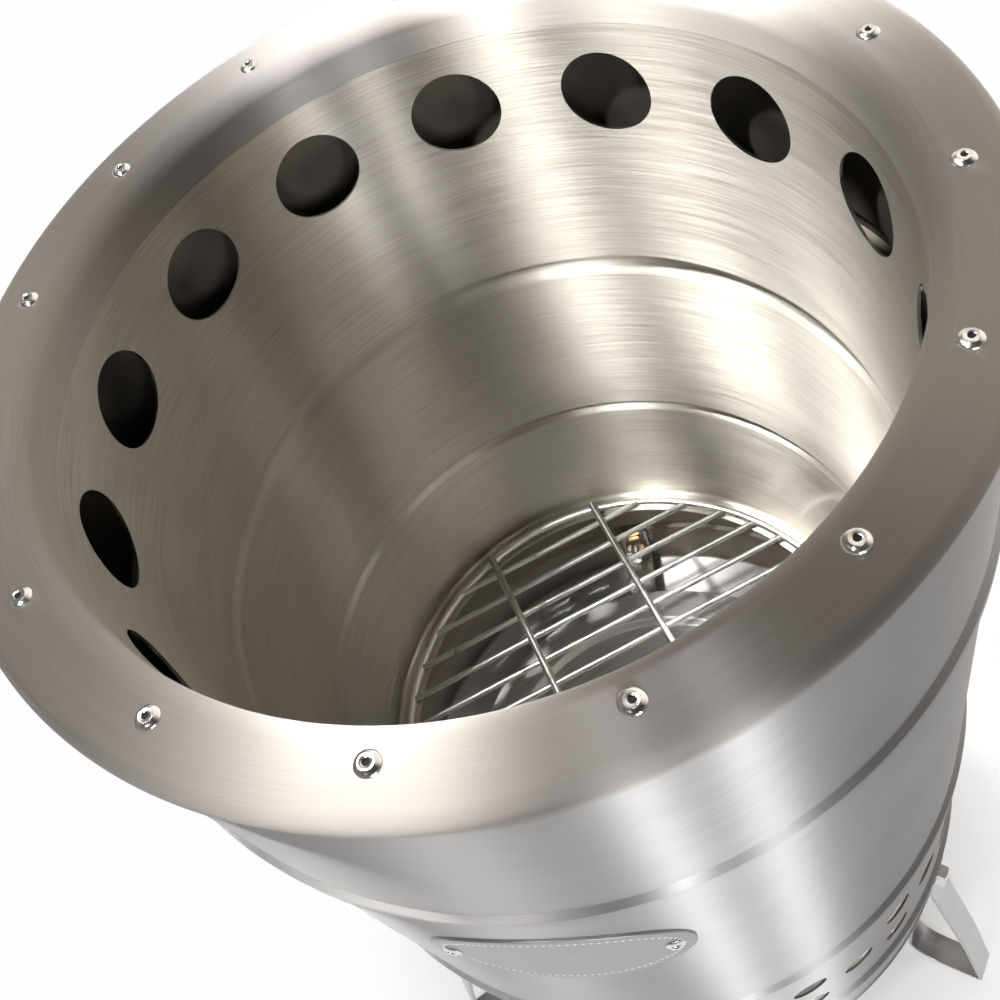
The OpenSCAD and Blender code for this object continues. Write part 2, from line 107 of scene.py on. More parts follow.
class BarrelSheet(bpy.types.PropertyGroup):
    """Sizes of the rim, drum and outer shell."""

    shell_r: length("Shell Radius", 0.1815, "Outside radius of the shell's plain wall")
    rim_r: length("Rim Radius", 0.185, "Outside radius of the rolled rim")
    drum_r: length("Drum Radius", 0.1546, "Inside radius of the drum")
    sheet: length("Sheet", 0.0012, "Thickness of the sheet")
    outer_roll: length("Outer Roll", 0.0055, "Radius of the roll at the rim's outer edge")
    inner_roll: length("Inner Roll", 0.009, "Radius of the roll into the drum")
    outer_lip: length("Outer Lip", 0.0135, "Depth of the lip over the shell")
    inner_lip: length("Inner Lip", 0.02, "Depth of the lip in the drum")
    lap_gap: length("Lap Gap", 0.00015, "Gap between sheets that lie on each other")
    flange_overlap: length("Flange Overlap", 0.0075, "Reach of a flange past the rivets")
    drum_depth: length("Drum Depth", 0.385, "Depth of the drum's ledge")
    ledge_r: length("Ledge Radius", 0.1402, "Radius of the opening in the ledge")
    drum_corner: length("Drum Corner", 0.003, "Radius of the drum's lower corner")
    upper_bead: length("Upper Bead", 0.1555, "Depth where the drum's upper bead starts")
    upper_bead_h: length("Upper Bead Height", 0.015, "Height of the upper bead")
    lower_bead: length("Lower Bead", 0.281, "Depth where the drum's lower bead starts")
    lower_bead_h: length("Lower Bead Height", 0.0105, "Height of the lower bead")
    bead_out: length("Bead Depth", 0.0025, "Distance that the beads are pressed out")
    shell_bend: length("Shell Bend", 0.005, "Radius of the bend into the shell's top flange")
    shell_depth: length("Shell Depth", 0.525, "Depth of the shell's bottom edge")
    flange_w: length("Flange Width", 0.0355, "Width of the shell's bottom flange")
    upper_ridge: length("Upper Ridge", 0.109, "Depth where the upper ridge starts")
    middle_ridge: length("Middle Ridge", 0.334, "Depth where the middle ridge starts")
    lower_ridge: length("Lower Ridge", 0.467, "Depth where the lower ridge starts")
    ridge_h: length("Ridge Height", 0.0125, "Height of each ridge")
    ridge_out: length("Ridge Depth", 0.0027, "Distance that the ridges stand out")
    ridge_slope: length("Ridge Slope", 0.0025, "Height of the slope at a ridge's edge")
    ridge_edge: length("Ridge Edge", 0.0008, "Radius of a ridge's pressed edges")
    hem_h: length("Hem Height", 0.005, "Height of the hem at the shell's foot")
    hem_out: length("Hem Depth", 0.0008, "Distance that the hem stands out")


class BarrelHoles(bpy.types.PropertyGroup):
    """Sizes and places of the round holes."""

    draught_d: length("Draught Hole", 0.0406, "Diameter of the holes near the drum's top")
    draught_depth: length("Draught Depth", 0.0545, "Depth of these holes' centres")
    draught_count: number("Draught Holes", 14, "Number of these holes")
    draught_az: turn("First Draught Hole", -6.2, "Direction of the first one")
    vent_d: length("Air Hole", 0.02, "Diameter of the shell's air holes")
    vent_depth: length("Air Hole Depth", 0.394, "Depth of their first row")
    vent_pitch: length("Air Hole Pitch", 0.0215, "Distance between two rows")
    vent_columns: number("Air Hole Columns", 18, "Number of columns of paired holes")
    vent_az: turn("First Air Hole", -62.3, "Direction of the first column")


class BarrelFixings(bpy.types.PropertyGroup):
    """Sizes and places of rivets, bolts and nuts."""

    rivet_r: length("Rivet Circle", 0.1676, "Distance of the rim's rivets from the axis")
    rivet_count: number("Rim Rivets", 15, "Number of rivets round the rim")
    rivet_az: turn("First Rivet", 3.1, "Direction of the first one")
    head_d: length("Rivet Head", 0.008, "Diameter of a rivet's head")
    head_h: length("Rivet Head Height", 0.0017, "Height of a rivet's head")
    body_d: length("Rivet Body", 0.004, "Diameter of a rivet's body")
    stem_d: length("Rivet Stem", 0.0022, "Diameter of the stem left in a rivet")
    bolt_depth: length("Bolt Depth", 0.4875, "Depth of the bolts' axis")
    bolt_d: length("Bolt", 0.008, "Diameter of a bolt")
    bolt_pitch: length("Thread Pitch", 0.00125, "Distance between two threads")
    bolt_flats: length("Bolt Flats", 0.013, "Width across the flats of bolt and nut")
    bolt_head_h: length("Bolt Head Height", 0.0055, "Height of a bolt's head")
    bolt_len: length("Bolt Length", 0.025, "Length of a bolt under its head")
    nut_h: length("Nut Height", 0.0065, "Height of a nut")


class BarrelGrate(bpy.types.PropertyGroup):
    """Sizes of the grate and the ash plate."""

    ring_r: length("Grate Ring Radius", 0.145, "Radius of the ring's centre line")
    ring_d: length("Grate Ring Wire", 0.005, "Thickness of the ring's wire")
    seat_gap: length("Seat Gap", 0.0003, "Gap between a loose piece and its seat")
    bar_d: length("Bar", 0.0038, "Thickness of the bars")
    bar_pitch: length("Bar Pitch", 0.01825, "Distance from one bar to the next")
    bar_count: number("Bars", 15, "Number of bars")
    cross_d: length("Cross Bar", 0.0045, "Thickness of the two cross bars")
    cross_pitch: length("Cross Bar Pitch", 0.0772, "Distance between the cross bars")
    weld_gap: length("Weld Gap", 0.0001, "Gap between two welded wires")
    weld_depth: length("Weld Depth", 0.0003, "Distance that the bars' ends sink into the ring")
    turned: turn("Grate Direction", 24.6, "Direction that the bars run in")
    plate_r: length("Ash Plate Radius", 0.1385, "Radius of the ash plate")
    plate_t: length("Ash Plate Thickness", 0.002, "Thickness of the ash plate")
    plate_depth: length("Ash Plate Depth", 0.502, "Depth of the ash plate's top")
    plate_rim: length("Ash Plate Rim", 0.022, "Width of its raised rim")
    plate_bend: length("Ash Plate Bend", 0.003, "Radius of its pressed bends")
    dish: length("Dish", 0.004, "Depth of its pressed middle")
    slot_len: length("Slot Length", 0.008, "Length of the slots in its rim")
    slot_w: length("Slot Width", 0.0025, "Width of the slots")
    slot_in: length("Slot Inset", 0.0015, "Distance of the slots inside the rim's middle")
    slot_turn: turn("Slot Turn", 45, "Turn of a slot out of its radius")
    slot_az: turn("Slot Direction", -5.1, "Direction of a slot beside a foot")
    mark_az: turn("Notch Direction", 140.5, "Direction of the notch in its edge")
    notch_r: length("Notch Radius", 0.0022, "Radius of the notch")
    mark_r: length("Mark Radius", 0.0015, "Radius of the small hole by the notch")
    mark_in: length("Mark Inset", 0.0066, "Distance of the small hole from the edge")


class BarrelFeet(bpy.types.PropertyGroup):
    """Sizes of the feet and of the brackets inside."""

    strap_w: length("Strap Width", 0.02, "Width of the strap")
    strap_t: length("Strap Thickness", 0.0025, "Thickness of the strap")
    strap_edge: length("Strap Edge", 0.0005, "Radius of the strap's edges")
    strap_gap: length("Strap Gap", 0.0001, "Gap between a strap and what it lies on")
    foot_az: turn("First Foot", -26.2, "Direction of the first foot")
    foot_count: number("Feet", 3, "Number of feet")
    top_depth: length("Foot Top", 0.481, "Depth of a foot's top edge")
    bend_depth: length("Foot Bend", 0.507, "Depth where the leg leaves the shell")
    knee_r: length("Foot Knee", 0.2115, "Distance of the knee from the axis")
    knee_depth: length("Foot Knee Depth", 0.621, "Depth of the knee")
    tip_r: length("Foot Tip", 0.227, "Distance of the tip from the axis")
    inner_r: length("Foot Inner Leg", 0.1745, "Distance of the inner leg from the axis")
    inner_bend: length("Foot Inner Bend", 0.026, "Radius at the foot of the inner leg")
    tip_bend: length("Foot Tip Bend", 0.0035, "Radius of the fold at the tip")
    strap_bend: length("Strap Bend", 0.004, "Radius of the other tight bends")
    tab_len: length("Foot Tab", 0.022, "Length of the tab under the shell")
    bracket_top: length("Bracket Top", 0.476, "Depth of a bracket's top edge")
    bracket_end: length("Bracket End", 0.12, "Distance of a bracket's end from the axis")


class BarrelPlate(bpy.types.PropertyGroup):
    """Sizes of the name plate."""

    width: length("Plate Width", 0.1035, "Width of the oval, straight across")
    height: length("Plate Height", 0.069, "Height of the oval")
    thickness: length("Plate Thickness", 0.0012, "Thickness of the plate")
    depth: length("Plate Depth", 0.182, "Depth of its centre")
    az: turn("Plate Direction", -90, "Direction of its centre")
    rivet_pitch: length("Plate Rivet Pitch", 0.087, "Distance between its two rivets")
    border_inset: length("Border Inset", 0.0052, "Distance of the dots from the edge")
    dot_d: length("Dot", 0.0015, "Diameter of a dot")
    dot_h: length("Dot Height", 0.00012, "Height of a dot")
    dot_count: number("Dots", 84, "Number of dots in the border")


class BarrelFinish(bpy.types.PropertyGroup):
    """Colours and roughness of the metals."""

    # The rim's tones are darker than the shell's steel: painted shade for the dim surroundings that the rim
    # reflects
    steel: colour("Steel", (0.40, 0.375, 0.355), "Brushed stainless steel of the rim")
    steel_dark: colour("Steel Shade", (0.345, 0.32, 0.30), "The darker lines in it")
    drum: colour("Drum Steel", (0.51, 0.492, 0.45), "Brushed stainless steel of the drum")
    drum_dark: colour("Drum Shade", (0.37, 0.34, 0.29), "The darker lines in it")
    # Tone inside the shell: a rough mill finish, its colour darkened as painted shade in the jacket behind
    # the holes
    inside: colour("Jacket Steel", (0.27, 0.24, 0.20), "Dull mill finish inside the shell")
    shell: colour("Shell Steel", (0.52, 0.513, 0.515), "Brushed stainless steel of the shell")
    shell_dark: colour("Shell Shade", (0.42, 0.413, 0.415), "The darker lines in it")
    bright: colour("Bright Steel", (0.80, 0.79, 0.77), "Polished steel of fixings")
    # Near black: painted shade in the bore round a rivet's broken stem
    dark: colour("Dark Steel", (0.02, 0.019, 0.018), "Steel of the rivets' stems")
    brass: colour("Brass", (0.72, 0.54, 0.28), "Passivated steel of the nuts")
    enamel: colour("Plate Field", (0.42, 0.425, 0.44), "Etched field of the plate")
    dots: colour("Plate Border", (0.95, 0.95, 0.96), "Bare metal of the plate's dots")
    rim_rough: share("Rim Roughness", 0.55, "Roughness of the rim")
    drum_rough: share("Drum Roughness", 0.43, "Roughness of the drum")
    shell_rough: share("Shell Roughness", 0.46, "Roughness of the shell")
    ash_rough: share("Ash Plate Roughness", 0.52, "Roughness of the ash plate")
    strap_rough: share("Strap Roughness", 0.34, "Roughness of feet and brackets")


SIZE_GROUPS = (
    ("barrel_sheet", BarrelSheet),
    ("barrel_holes", BarrelHoles),
    ("barrel_fixings", BarrelFixings),
    ("barrel_grate", BarrelGrate),
    ("barrel_feet", BarrelFeet),
    ("barrel_plate", BarrelPlate),
    ("barrel_finish", BarrelFinish),
)


# Plane outlines, as arrays of points with a radius and a height

def arc(centre, radius, start, end):
    """Points along an arc, from one angle to another in degrees."""
    steps = max(2, int(round(abs(radians(end - start)) / ARC_STEP)))
    angles = np.radians(np.linspace(start, end, steps + 1))
    return [(centre[0] + radius * cos(a), centre[1] + radius * sin(a)) for a in angles]


def rounded(points, radii):
    """A line of points whose inner corners are rounded, each to its own radius."""
    line = [tuple(points[0])]
    for before, at, after, radius in zip(points, points[1:], points[2:], radii):
        before, at, after = np.array(before), np.array(at), np.array(after)
        u = (before - at) / np.linalg.norm(before - at)
        w = (after - at) / np.linalg.norm(after - at)
        half = np.arccos(np.clip(u @ w, -1, 1)) / 2
        if radius <= 0 or half > pi / 2 - 1e-4:
            line.append(tuple(at))
            continue
        middle = (u + w) / np.linalg.norm(u + w)
        centre = at + middle * radius / sin(half)
        start = at + u * radius / tan(half) - centre
        end = at + w * radius / tan(half) - centre
        sweep = atan2(start[0] * end[1] - start[1] * end[0], start @ end)
        first = atan2(start[1], start[0])
        steps = max(2, int(round(abs(sweep) / ARC_STEP)))
        for a in first + sweep * np.linspace(0, 1, steps + 1):
            line.append((centre[0] + radius * cos(a), centre[1] + radius * sin(a)))
    line.append(tuple(points[-1]))
    return line


def beside(line, distance):
    """The line that lies at a distance to the left of another."""
    line = np.array(line, float)
    step = np.diff(line, axis=0)
    step /= np.linalg.norm(step, axis=1)[:, None]
    before = np.vstack([step[:1], step])
    after = np.vstack([step, step[-1:]])
    left = np.column_stack([-before[:, 1], before[:, 0]])
    middle = before + after
    middle /= np.linalg.norm(middle, axis=1)[:, None]
    normal = np.column_stack([-middle[:, 1], middle[:, 0]])
    return line + normal * (distance / np.sum(normal * left, axis=1))[:, None]


def bead_points(depth, height, radius, out):
    """A bead pressed out of a wall, from its top to its bottom."""
    return [
        (radius + out * (1 - cos(2 * pi * i / BEAD_STEPS)) / 2, -depth - height * i / BEAD_STEPS)
        for i in range(BEAD_STEPS + 1)
    ]


def wall_outline(line, thickness):
    """A closed outline of a sheet, from one of its faces."""
    return np.vstack([np.array(line, float), beside(line, thickness)[::-1]])


def outline_normals(points, closed):
    """Outward normals at the start and the end of each side of an outline."""
    after = np.roll(points, -1, axis=0) if closed else points[1:]
    step = after - (points if closed else points[:-1])
    normal = np.column_stack([step[:, 1], -step[:, 0]])
    normal /= np.linalg.norm(normal, axis=1)[:, None]
    start, end = normal.copy(), normal.copy()
    count = len(normal)
    for i in range(count):
        j = (i + 1) % count
        if not closed and j == 0:
            continue
        if np.dot(normal[i], normal[j]) > cos(SMOOTH_LIMIT):
            middle = normal[i] + normal[j]
            middle /= np.linalg.norm(middle)
            end[i] = middle
            start[j] = middle
    return start, end


# Meshes

def ring_faces(count, pairs):
    """Faces between rings of so many points each, for every pair of rings in a list."""
    return [
        [i * count + c, i * count + (c + 1) % count, j * count + (c + 1) % count, j * count + c]
        for i, j in pairs for c in range(count)
    ]


def make_piece(name, verts=(), faces=(), loop_normals=None, uv=None):
    """A mesh object at the origin, with its own normals where they are given. It may be empty at
    first, for a tree to fill."""
    mesh = bpy.data.meshes.new(name)
    mesh.from_pydata([tuple(v) for v in verts], [], faces)
    mesh.update()
    if uv is not None:
        layer = mesh.uv_layers.new(name="Strap")
        layer.data.foreach_set("uv", np.asarray(uv, np.float32).ravel())
    if loop_normals is not None:
        mesh.shade_smooth()
        mesh.normals_split_custom_set([tuple(n) for n in loop_normals])
    piece = bpy.data.objects.new(name, mesh)
    bpy.context.scene.collection.objects.link(piece)
    return piece


def revolve(name, points, columns=COLUMNS, closed=True, level=RIM_HEIGHT):
    """A surface of revolution round the barrel's axis, with the zero of its points at a level.

    Points on the axis become one pole. The points come back in the order that was used.
    """
    points = np.array(points, float)
    after = np.roll(points, -1, axis=0)
    area = np.sum(points[:, 0] * after[:, 1] - after[:, 0] * points[:, 1])
    if area < 0:
        points = points[::-1].copy()
    start, end = outline_normals(points, closed)
    angle = 2 * pi * np.arange(columns) / columns
    rows, verts = [], []
    for r, z in points:
        if r < ON_AXIS:
            rows.append(np.full(columns, len(verts)))
            verts.append((0.0, 0.0, z))
        else:
            rows.append(len(verts) + np.arange(columns))
            verts.extend(zip(r * np.cos(angle), r * np.sin(angle), np.full(columns, z)))
    faces, normals = [], []
    sides = len(points) if closed else len(points) - 1
    for i in range(sides):
        j = (i + 1) % len(points)
        low, high = rows[i], rows[j]
        if points[i][0] < ON_AXIS and points[j][0] < ON_AXIS:
            continue
        for c in range(columns):
            d = (c + 1) % columns
            corners = [
                (low[c], c, start[i]), (low[d], d, start[i]), (high[d], d, end[i]), (high[c], c, end[i]),
            ]
            if points[i][0] < ON_AXIS:
                corners.pop(1)
            elif points[j][0] < ON_AXIS:
                corners.pop(3)
            faces.append([int(k[0]) for k in corners])
            for _, column, n in corners:
                a = angle[column]
                normals.append((n[0] * cos(a), n[0] * sin(a), n[1]))
    piece = make_piece(name, verts, faces, normals)
    piece.data.transform(shift(z=level))
    return piece, points


def rounded_section(width, thickness, edge):
    """Points and normals round a strap's section: across its thickness and across its width."""
    points, normals = [], []
    for sx, sy, first in ((1, 1, 0), (-1, 1, 90), (-1, -1, 180), (1, -1, 270)):
        for a in (0, 30, 60, 90):
            direction = (cos(radians(first + a)), sin(radians(first + a)))
            points.append((
                sx * (thickness / 2 - edge) + edge * direction[0],
                sy * (width / 2 - edge) + edge * direction[1],
            ))
            normals.append(direction)
    return points, normals


def sweep_strap(name, path, feet):
    """A strap along a path in the plane of radius and height, at the direction 0."""
    section, section_normals = rounded_section(feet.strap_w, feet.strap_t, feet.strap_edge)
    path = np.array(path, float)
    step = np.diff(path, axis=0)
    along = np.concatenate([[0], np.cumsum(np.linalg.norm(step, axis=1))])
    left = beside(path, 1.0) - path
    unit_left = left / np.linalg.norm(left, axis=1)[:, None]
    verts, vert_normals = [], []
    for p, wide, plain in zip(path, left, unit_left):
        for (a, b), (na, nb) in zip(section, section_normals):
            verts.append((p[0] + wide[0] * a, b, p[1] + wide[1] * a))
            vert_normals.append((plain[0] * na, nb, plain[1] * na))
    count = len(section)
    faces, normals, uv = [], [], []
    for i in range(len(path) - 1):
        for k in range(count):
            m = (k + 1) % count
            corners = [i * count + k, (i + 1) * count + k, (i + 1) * count + m, i * count + m]
            faces.append(corners)
            normals.extend(vert_normals[c] for c in corners)
            uv.extend((along[c // count], section[c % count][1]) for c in corners)
    for end, towards in ((0, -1), (len(path) - 1, 1)):
        ring = [end * count + k for k in range(count)]
        d = step[0] if end == 0 else step[-1]
        d = towards * d / np.linalg.norm(d)
        ring = ring if towards < 0 else ring[::-1]
        faces.append(ring)
        normals.extend((d[0], 0.0, d[1]) for _ in ring)
        uv.extend((along[end], section[c % count][1]) for c in ring)
    piece = make_piece(name, verts, faces, normals, uv)
    piece.data.transform(shift(z=RIM_HEIGHT))
    return piece


# Faces handled at once when each is matched to a side of an outline, and how much a wrong facing
# counts in the match, as a distance
BATCH = 20000
FACING_WEIGHT = 0.01
# How far past its radius a bore's faces are looked for, and how square to its axis they face
BORE_REACH = 1.05
BORE_FACING = 0.3


def restore_normals(piece, points, holes, edge_slot):
    """Gives a perforated wall the normals of its outline, and each hole those of a round bore.

    A hole is a direction, a height and a radius. The faces of the bores take the slot edge_slot.
    """
    mesh = piece.data
    start, end = outline_normals(points, True)
    after = np.roll(points, -1, axis=0)
    step = after - points
    size = np.linalg.norm(step, axis=1)
    side_normal = np.column_stack([step[:, 1], -step[:, 0]]) / size[:, None]
    co = np.zeros(len(mesh.vertices) * 3)
    mesh.vertices.foreach_get("co", co)
    co = co.reshape(-1, 3)
    count = len(mesh.polygons)
    centre, normal = np.zeros(count * 3), np.zeros(count * 3)
    mesh.polygons.foreach_get("center", centre)
    mesh.polygons.foreach_get("normal", normal)
    centre, normal = centre.reshape(-1, 3), normal.reshape(-1, 3)
    totals = np.zeros(count, int)
    mesh.polygons.foreach_get("loop_total", totals)
    corner = np.zeros(len(mesh.loops), int)
    mesh.loops.foreach_get("vertex_index", corner)
    radius = np.hypot(centre[:, 0], centre[:, 1])
    radial = (normal[:, 0] * centre[:, 0] + normal[:, 1] * centre[:, 1]) / radius
    flat = np.column_stack([radius, centre[:, 2] - RIM_HEIGHT])
    facing = np.column_stack([radial, normal[:, 2]])
    side = np.zeros(count, int)
    for first in range(0, count, BATCH):
        part = slice(first, first + BATCH)
        offset = flat[part, None, :] - points[None]
        t = np.clip(np.sum(offset * step[None], axis=2) / size[None] ** 2, 0, 1)
        away = np.linalg.norm(offset - t[..., None] * step[None], axis=2)
        away += FACING_WEIGHT * (1 - facing[part] @ side_normal.T)
        side[part] = np.argmin(away, axis=1)
    owner = np.repeat(np.arange(count), totals)
    v = co[corner]
    r = np.hypot(v[:, 0], v[:, 1])
    at = np.column_stack([r, v[:, 2] - RIM_HEIGHT])
    s = side[owner]
    t = np.clip(np.sum((at - points[s]) * step[s], axis=1) / size[s] ** 2, 0, 1)[:, None]
    n = (1 - t) * start[s] + t * end[s]
    n /= np.linalg.norm(n, axis=1)[:, None]
    result = np.column_stack([n[:, 0] * v[:, 0] / r, n[:, 0] * v[:, 1] / r, n[:, 1]])
    bore = np.zeros(count, bool)
    for direction, height, hole_r in holes:
        axis = np.array([cos(direction), sin(direction), 0.0])
        offset = centre - np.array([0, 0, height])
        offset -= np.outer(offset @ axis, axis)
        near = (np.linalg.norm(offset, axis=1) < hole_r * BORE_REACH) & (centre @ axis > 0)
        inside = near & (np.abs(normal @ axis) < BORE_FACING)
        bore |= inside
        mine = inside[owner]
        away = v[mine] - np.array([0, 0, height])
        away -= np.outer(away @ axis, axis)
        result[mine] = -away / np.linalg.norm(away, axis=1)[:, None]
    mesh.shade_smooth()
    slots = np.zeros(count, np.int32)
    slots[bore] = edge_slot
    mesh.polygons.foreach_set("material_index", slots)
    mesh.normals_split_custom_set([tuple(x) for x in result])
    mesh.update()


# Geometry node trees

HOLE_SIDES = 72
BAR_SIDES = 24
BAR_RINGS = 12
DOT_SIDES = 12
MARK_SIDES = 36
OVAL_SIDES = 256


def new_tree(name, sockets):
    """An empty tree, its named inputs as sockets to link from, and its output node."""
    tree = bpy.data.node_groups.new(name, "GeometryNodeTree")
    tree.interface.new_socket("Geometry", in_out="OUTPUT", socket_type="NodeSocketGeometry")
    for label, kind in sockets:
        tree.interface.new_socket(label, in_out="INPUT", socket_type="NodeSocket" + kind)
    return tree, tree.nodes.new("NodeGroupInput").outputs, tree.nodes.new("NodeGroupOutput")


def add(tree, kind, links=None, **settings):
    """A node with its settings made, and its inputs linked or given a value. A node that is given
    stands for its first output."""
    node = tree.nodes.new(kind)
    for key, value in settings.items():
        setattr(node, key, value)
    for key, value in (links or {}).items():
        if isinstance(value, bpy.types.Node):
            value = value.outputs[0]
        if isinstance(value, bpy.types.NodeSocket):
            tree.links.new(value, node.inputs[key])
        else:
            node.inputs[key].default_value = value
    return node


def maths(tree, operation, a, b=None):
    """The output of a Math node."""
    links = {0: a} if b is None else {0: a, 1: b}
    return add(tree, "ShaderNodeMath", links, operation=operation).outputs[0]


def combine(tree, **parts):
    """A vector from its parts X, Y and Z, of which those left out are zero."""
    return add(tree, "ShaderNodeCombineXYZ", parts)


def smooth_step(tree, value, start, end, low, high):
    """Maps a range of values smoothly to another."""
    return add(tree, "ShaderNodeMapRange", {
        "Value": value, "From Min": start, "From Max": end, "To Min": low, "To Max": high,
    }, interpolation_type="SMOOTHSTEP")


def points_at_origin(tree, count):
    """A number of points, all at the origin."""
    return add(tree, "GeometryNodeMeshLine", {"Count": count, "Offset": (0, 0, 0)})


def turned_points(tree, given):
    """Points on the axis and the turn of each, for pieces that stand round it."""
    points = points_at_origin(tree, given["Count"])
    index = add(tree, "GeometryNodeInputIndex")
    turned = maths(tree, "MULTIPLY", index, given["Step"])
    turned = maths(tree, "ADD", turned, given["First"])
    angles = combine(tree, Z=turned)
    return points, angles


def finish_tree(tree, out, shape, material):
    """Ends a tree in real geometry with its material."""
    real = add(tree, "GeometryNodeRealizeInstances", {0: shape})
    made = add(tree, "GeometryNodeSetMaterial", {"Geometry": real, "Material": material})
    tree.links.new(made.outputs[0], out.inputs[0])
    return tree


def cut_away(tree, given, out, tool):
    """Ends a tree in its own geometry with a tool cut out of it."""
    cut = add(tree, "GeometryNodeMeshBoolean", {
        "Mesh 1": given["Geometry"], "Mesh 2": tool,
    }, operation="DIFFERENCE", solver="MANIFOLD")
    return finish_tree(tree, out, cut, given["Material"])


def pieces_tree():
    """Copies of one piece, turned round the barrel's axis."""
    tree, given, out = new_tree("Pieces round the axis", (
        ("Piece", "Object"), ("Count", "Int"), ("First", "Float"), ("Step", "Float"),
        ("Material", "Material"),
    ))
    points, angles = turned_points(tree, given)
    piece = add(tree, "GeometryNodeObjectInfo", {"Object": given["Piece"]})
    copies = add(tree, "GeometryNodeInstanceOnPoints", {
        "Points": points, "Instance": piece.outputs["Geometry"], "Rotation": angles,
    })
    return finish_tree(tree, out, copies, given["Material"])


def holes_tree():
    """Round holes through a wall, in a row round the barrel's axis."""
    tree, given, out = new_tree("Round holes", (
        ("Geometry", "Geometry"), ("Count", "Int"), ("First", "Float"), ("Step", "Float"),
        ("Radius", "Float"), ("Height", "Float"), ("From", "Float"), ("To", "Float"),
        ("Material", "Material"),
    ))
    points, angles = turned_points(tree, given)
    long = maths(tree, "SUBTRACT", given["To"], given["From"])
    middle = maths(tree, "ADD", given["To"], given["From"])
    middle = maths(tree, "MULTIPLY", middle, 0.5)
    rod = add(tree, "GeometryNodeMeshCylinder", {
        "Vertices": HOLE_SIDES, "Radius": given["Radius"], "Depth": long,
    })
    place = combine(tree, X=middle, Z=given["Height"])
    laid = add(tree, "GeometryNodeTransform", {
        "Geometry": rod.outputs["Mesh"], "Translation": place,
        "Rotation": (0, radians(90), 0),
    })
    copies = add(tree, "GeometryNodeInstanceOnPoints", {
        "Points": points, "Instance": laid, "Rotation": angles,
    })
    rods = add(tree, "GeometryNodeRealizeInstances", {0: copies})
    return cut_away(tree, given, out, rods)


def cut_tree():
    """Another piece cut out of the geometry."""
    tree, given, out = new_tree("Cut by a piece", (
        ("Geometry", "Geometry"), ("Piece", "Object"), ("Material", "Material"),
    ))
    piece = add(tree, "GeometryNodeObjectInfo", {"Object": given["Piece"]})
    return cut_away(tree, given, out, piece.outputs["Geometry"])


def bars_tree():
    """Parallel bars, each as long as the ring is wide where it lies."""
    tree, given, out = new_tree("Bars across a ring", (
        ("Ring Radius", "Float"), ("Trim", "Float"), ("Pitch", "Float"), ("Count", "Int"),
        ("Diameter", "Float"), ("Height", "Float"), ("Turn", "Float"), ("Material", "Material"),
    ))
    line = points_at_origin(tree, given["Count"])
    index = add(tree, "GeometryNodeInputIndex")
    last = maths(tree, "SUBTRACT", given["Count"], 1.0)
    middle = maths(tree, "MULTIPLY", last, 0.5)
    y = maths(tree, "MULTIPLY", maths(tree, "SUBTRACT", index, middle), given["Pitch"])
    square = maths(tree, "MULTIPLY", given["Ring Radius"], given["Ring Radius"])
    left = maths(tree, "SUBTRACT", square, maths(tree, "MULTIPLY", y, y))
    half = maths(tree, "SUBTRACT", maths(tree, "SQRT", left), given["Trim"])
    spot = combine(tree, Y=y, Z=given["Height"])
    points = add(tree, "GeometryNodeSetPosition", {"Geometry": line, "Position": spot})
    rod = add(tree, "GeometryNodeCurvePrimitiveLine", {"Start": (-1, 0, 0), "End": (1, 0, 0)})
    size = combine(tree, X=half, Y=1.0, Z=1.0)
    copies = add(tree, "GeometryNodeInstanceOnPoints", {
        "Points": points, "Instance": rod, "Scale": size,
    })
    real = add(tree, "GeometryNodeRealizeInstances", {0: copies})
    fine = add(tree, "GeometryNodeResampleCurve", {"Curve": real, "Count": BAR_RINGS})
    radius = maths(tree, "MULTIPLY", given["Diameter"], 0.5)
    circle = add(tree, "GeometryNodeCurvePrimitiveCircle", {"Resolution": BAR_SIDES, "Radius": radius})
    tubes = add(tree, "GeometryNodeCurveToMesh", {
        "Curve": fine, "Profile Curve": circle, "Fill Caps": True,
    })
    turned = combine(tree, Z=given["Turn"])
    laid = add(tree, "GeometryNodeTransform", {"Geometry": tubes, "Rotation": turned})
    return finish_tree(tree, out, laid, given["Material"])


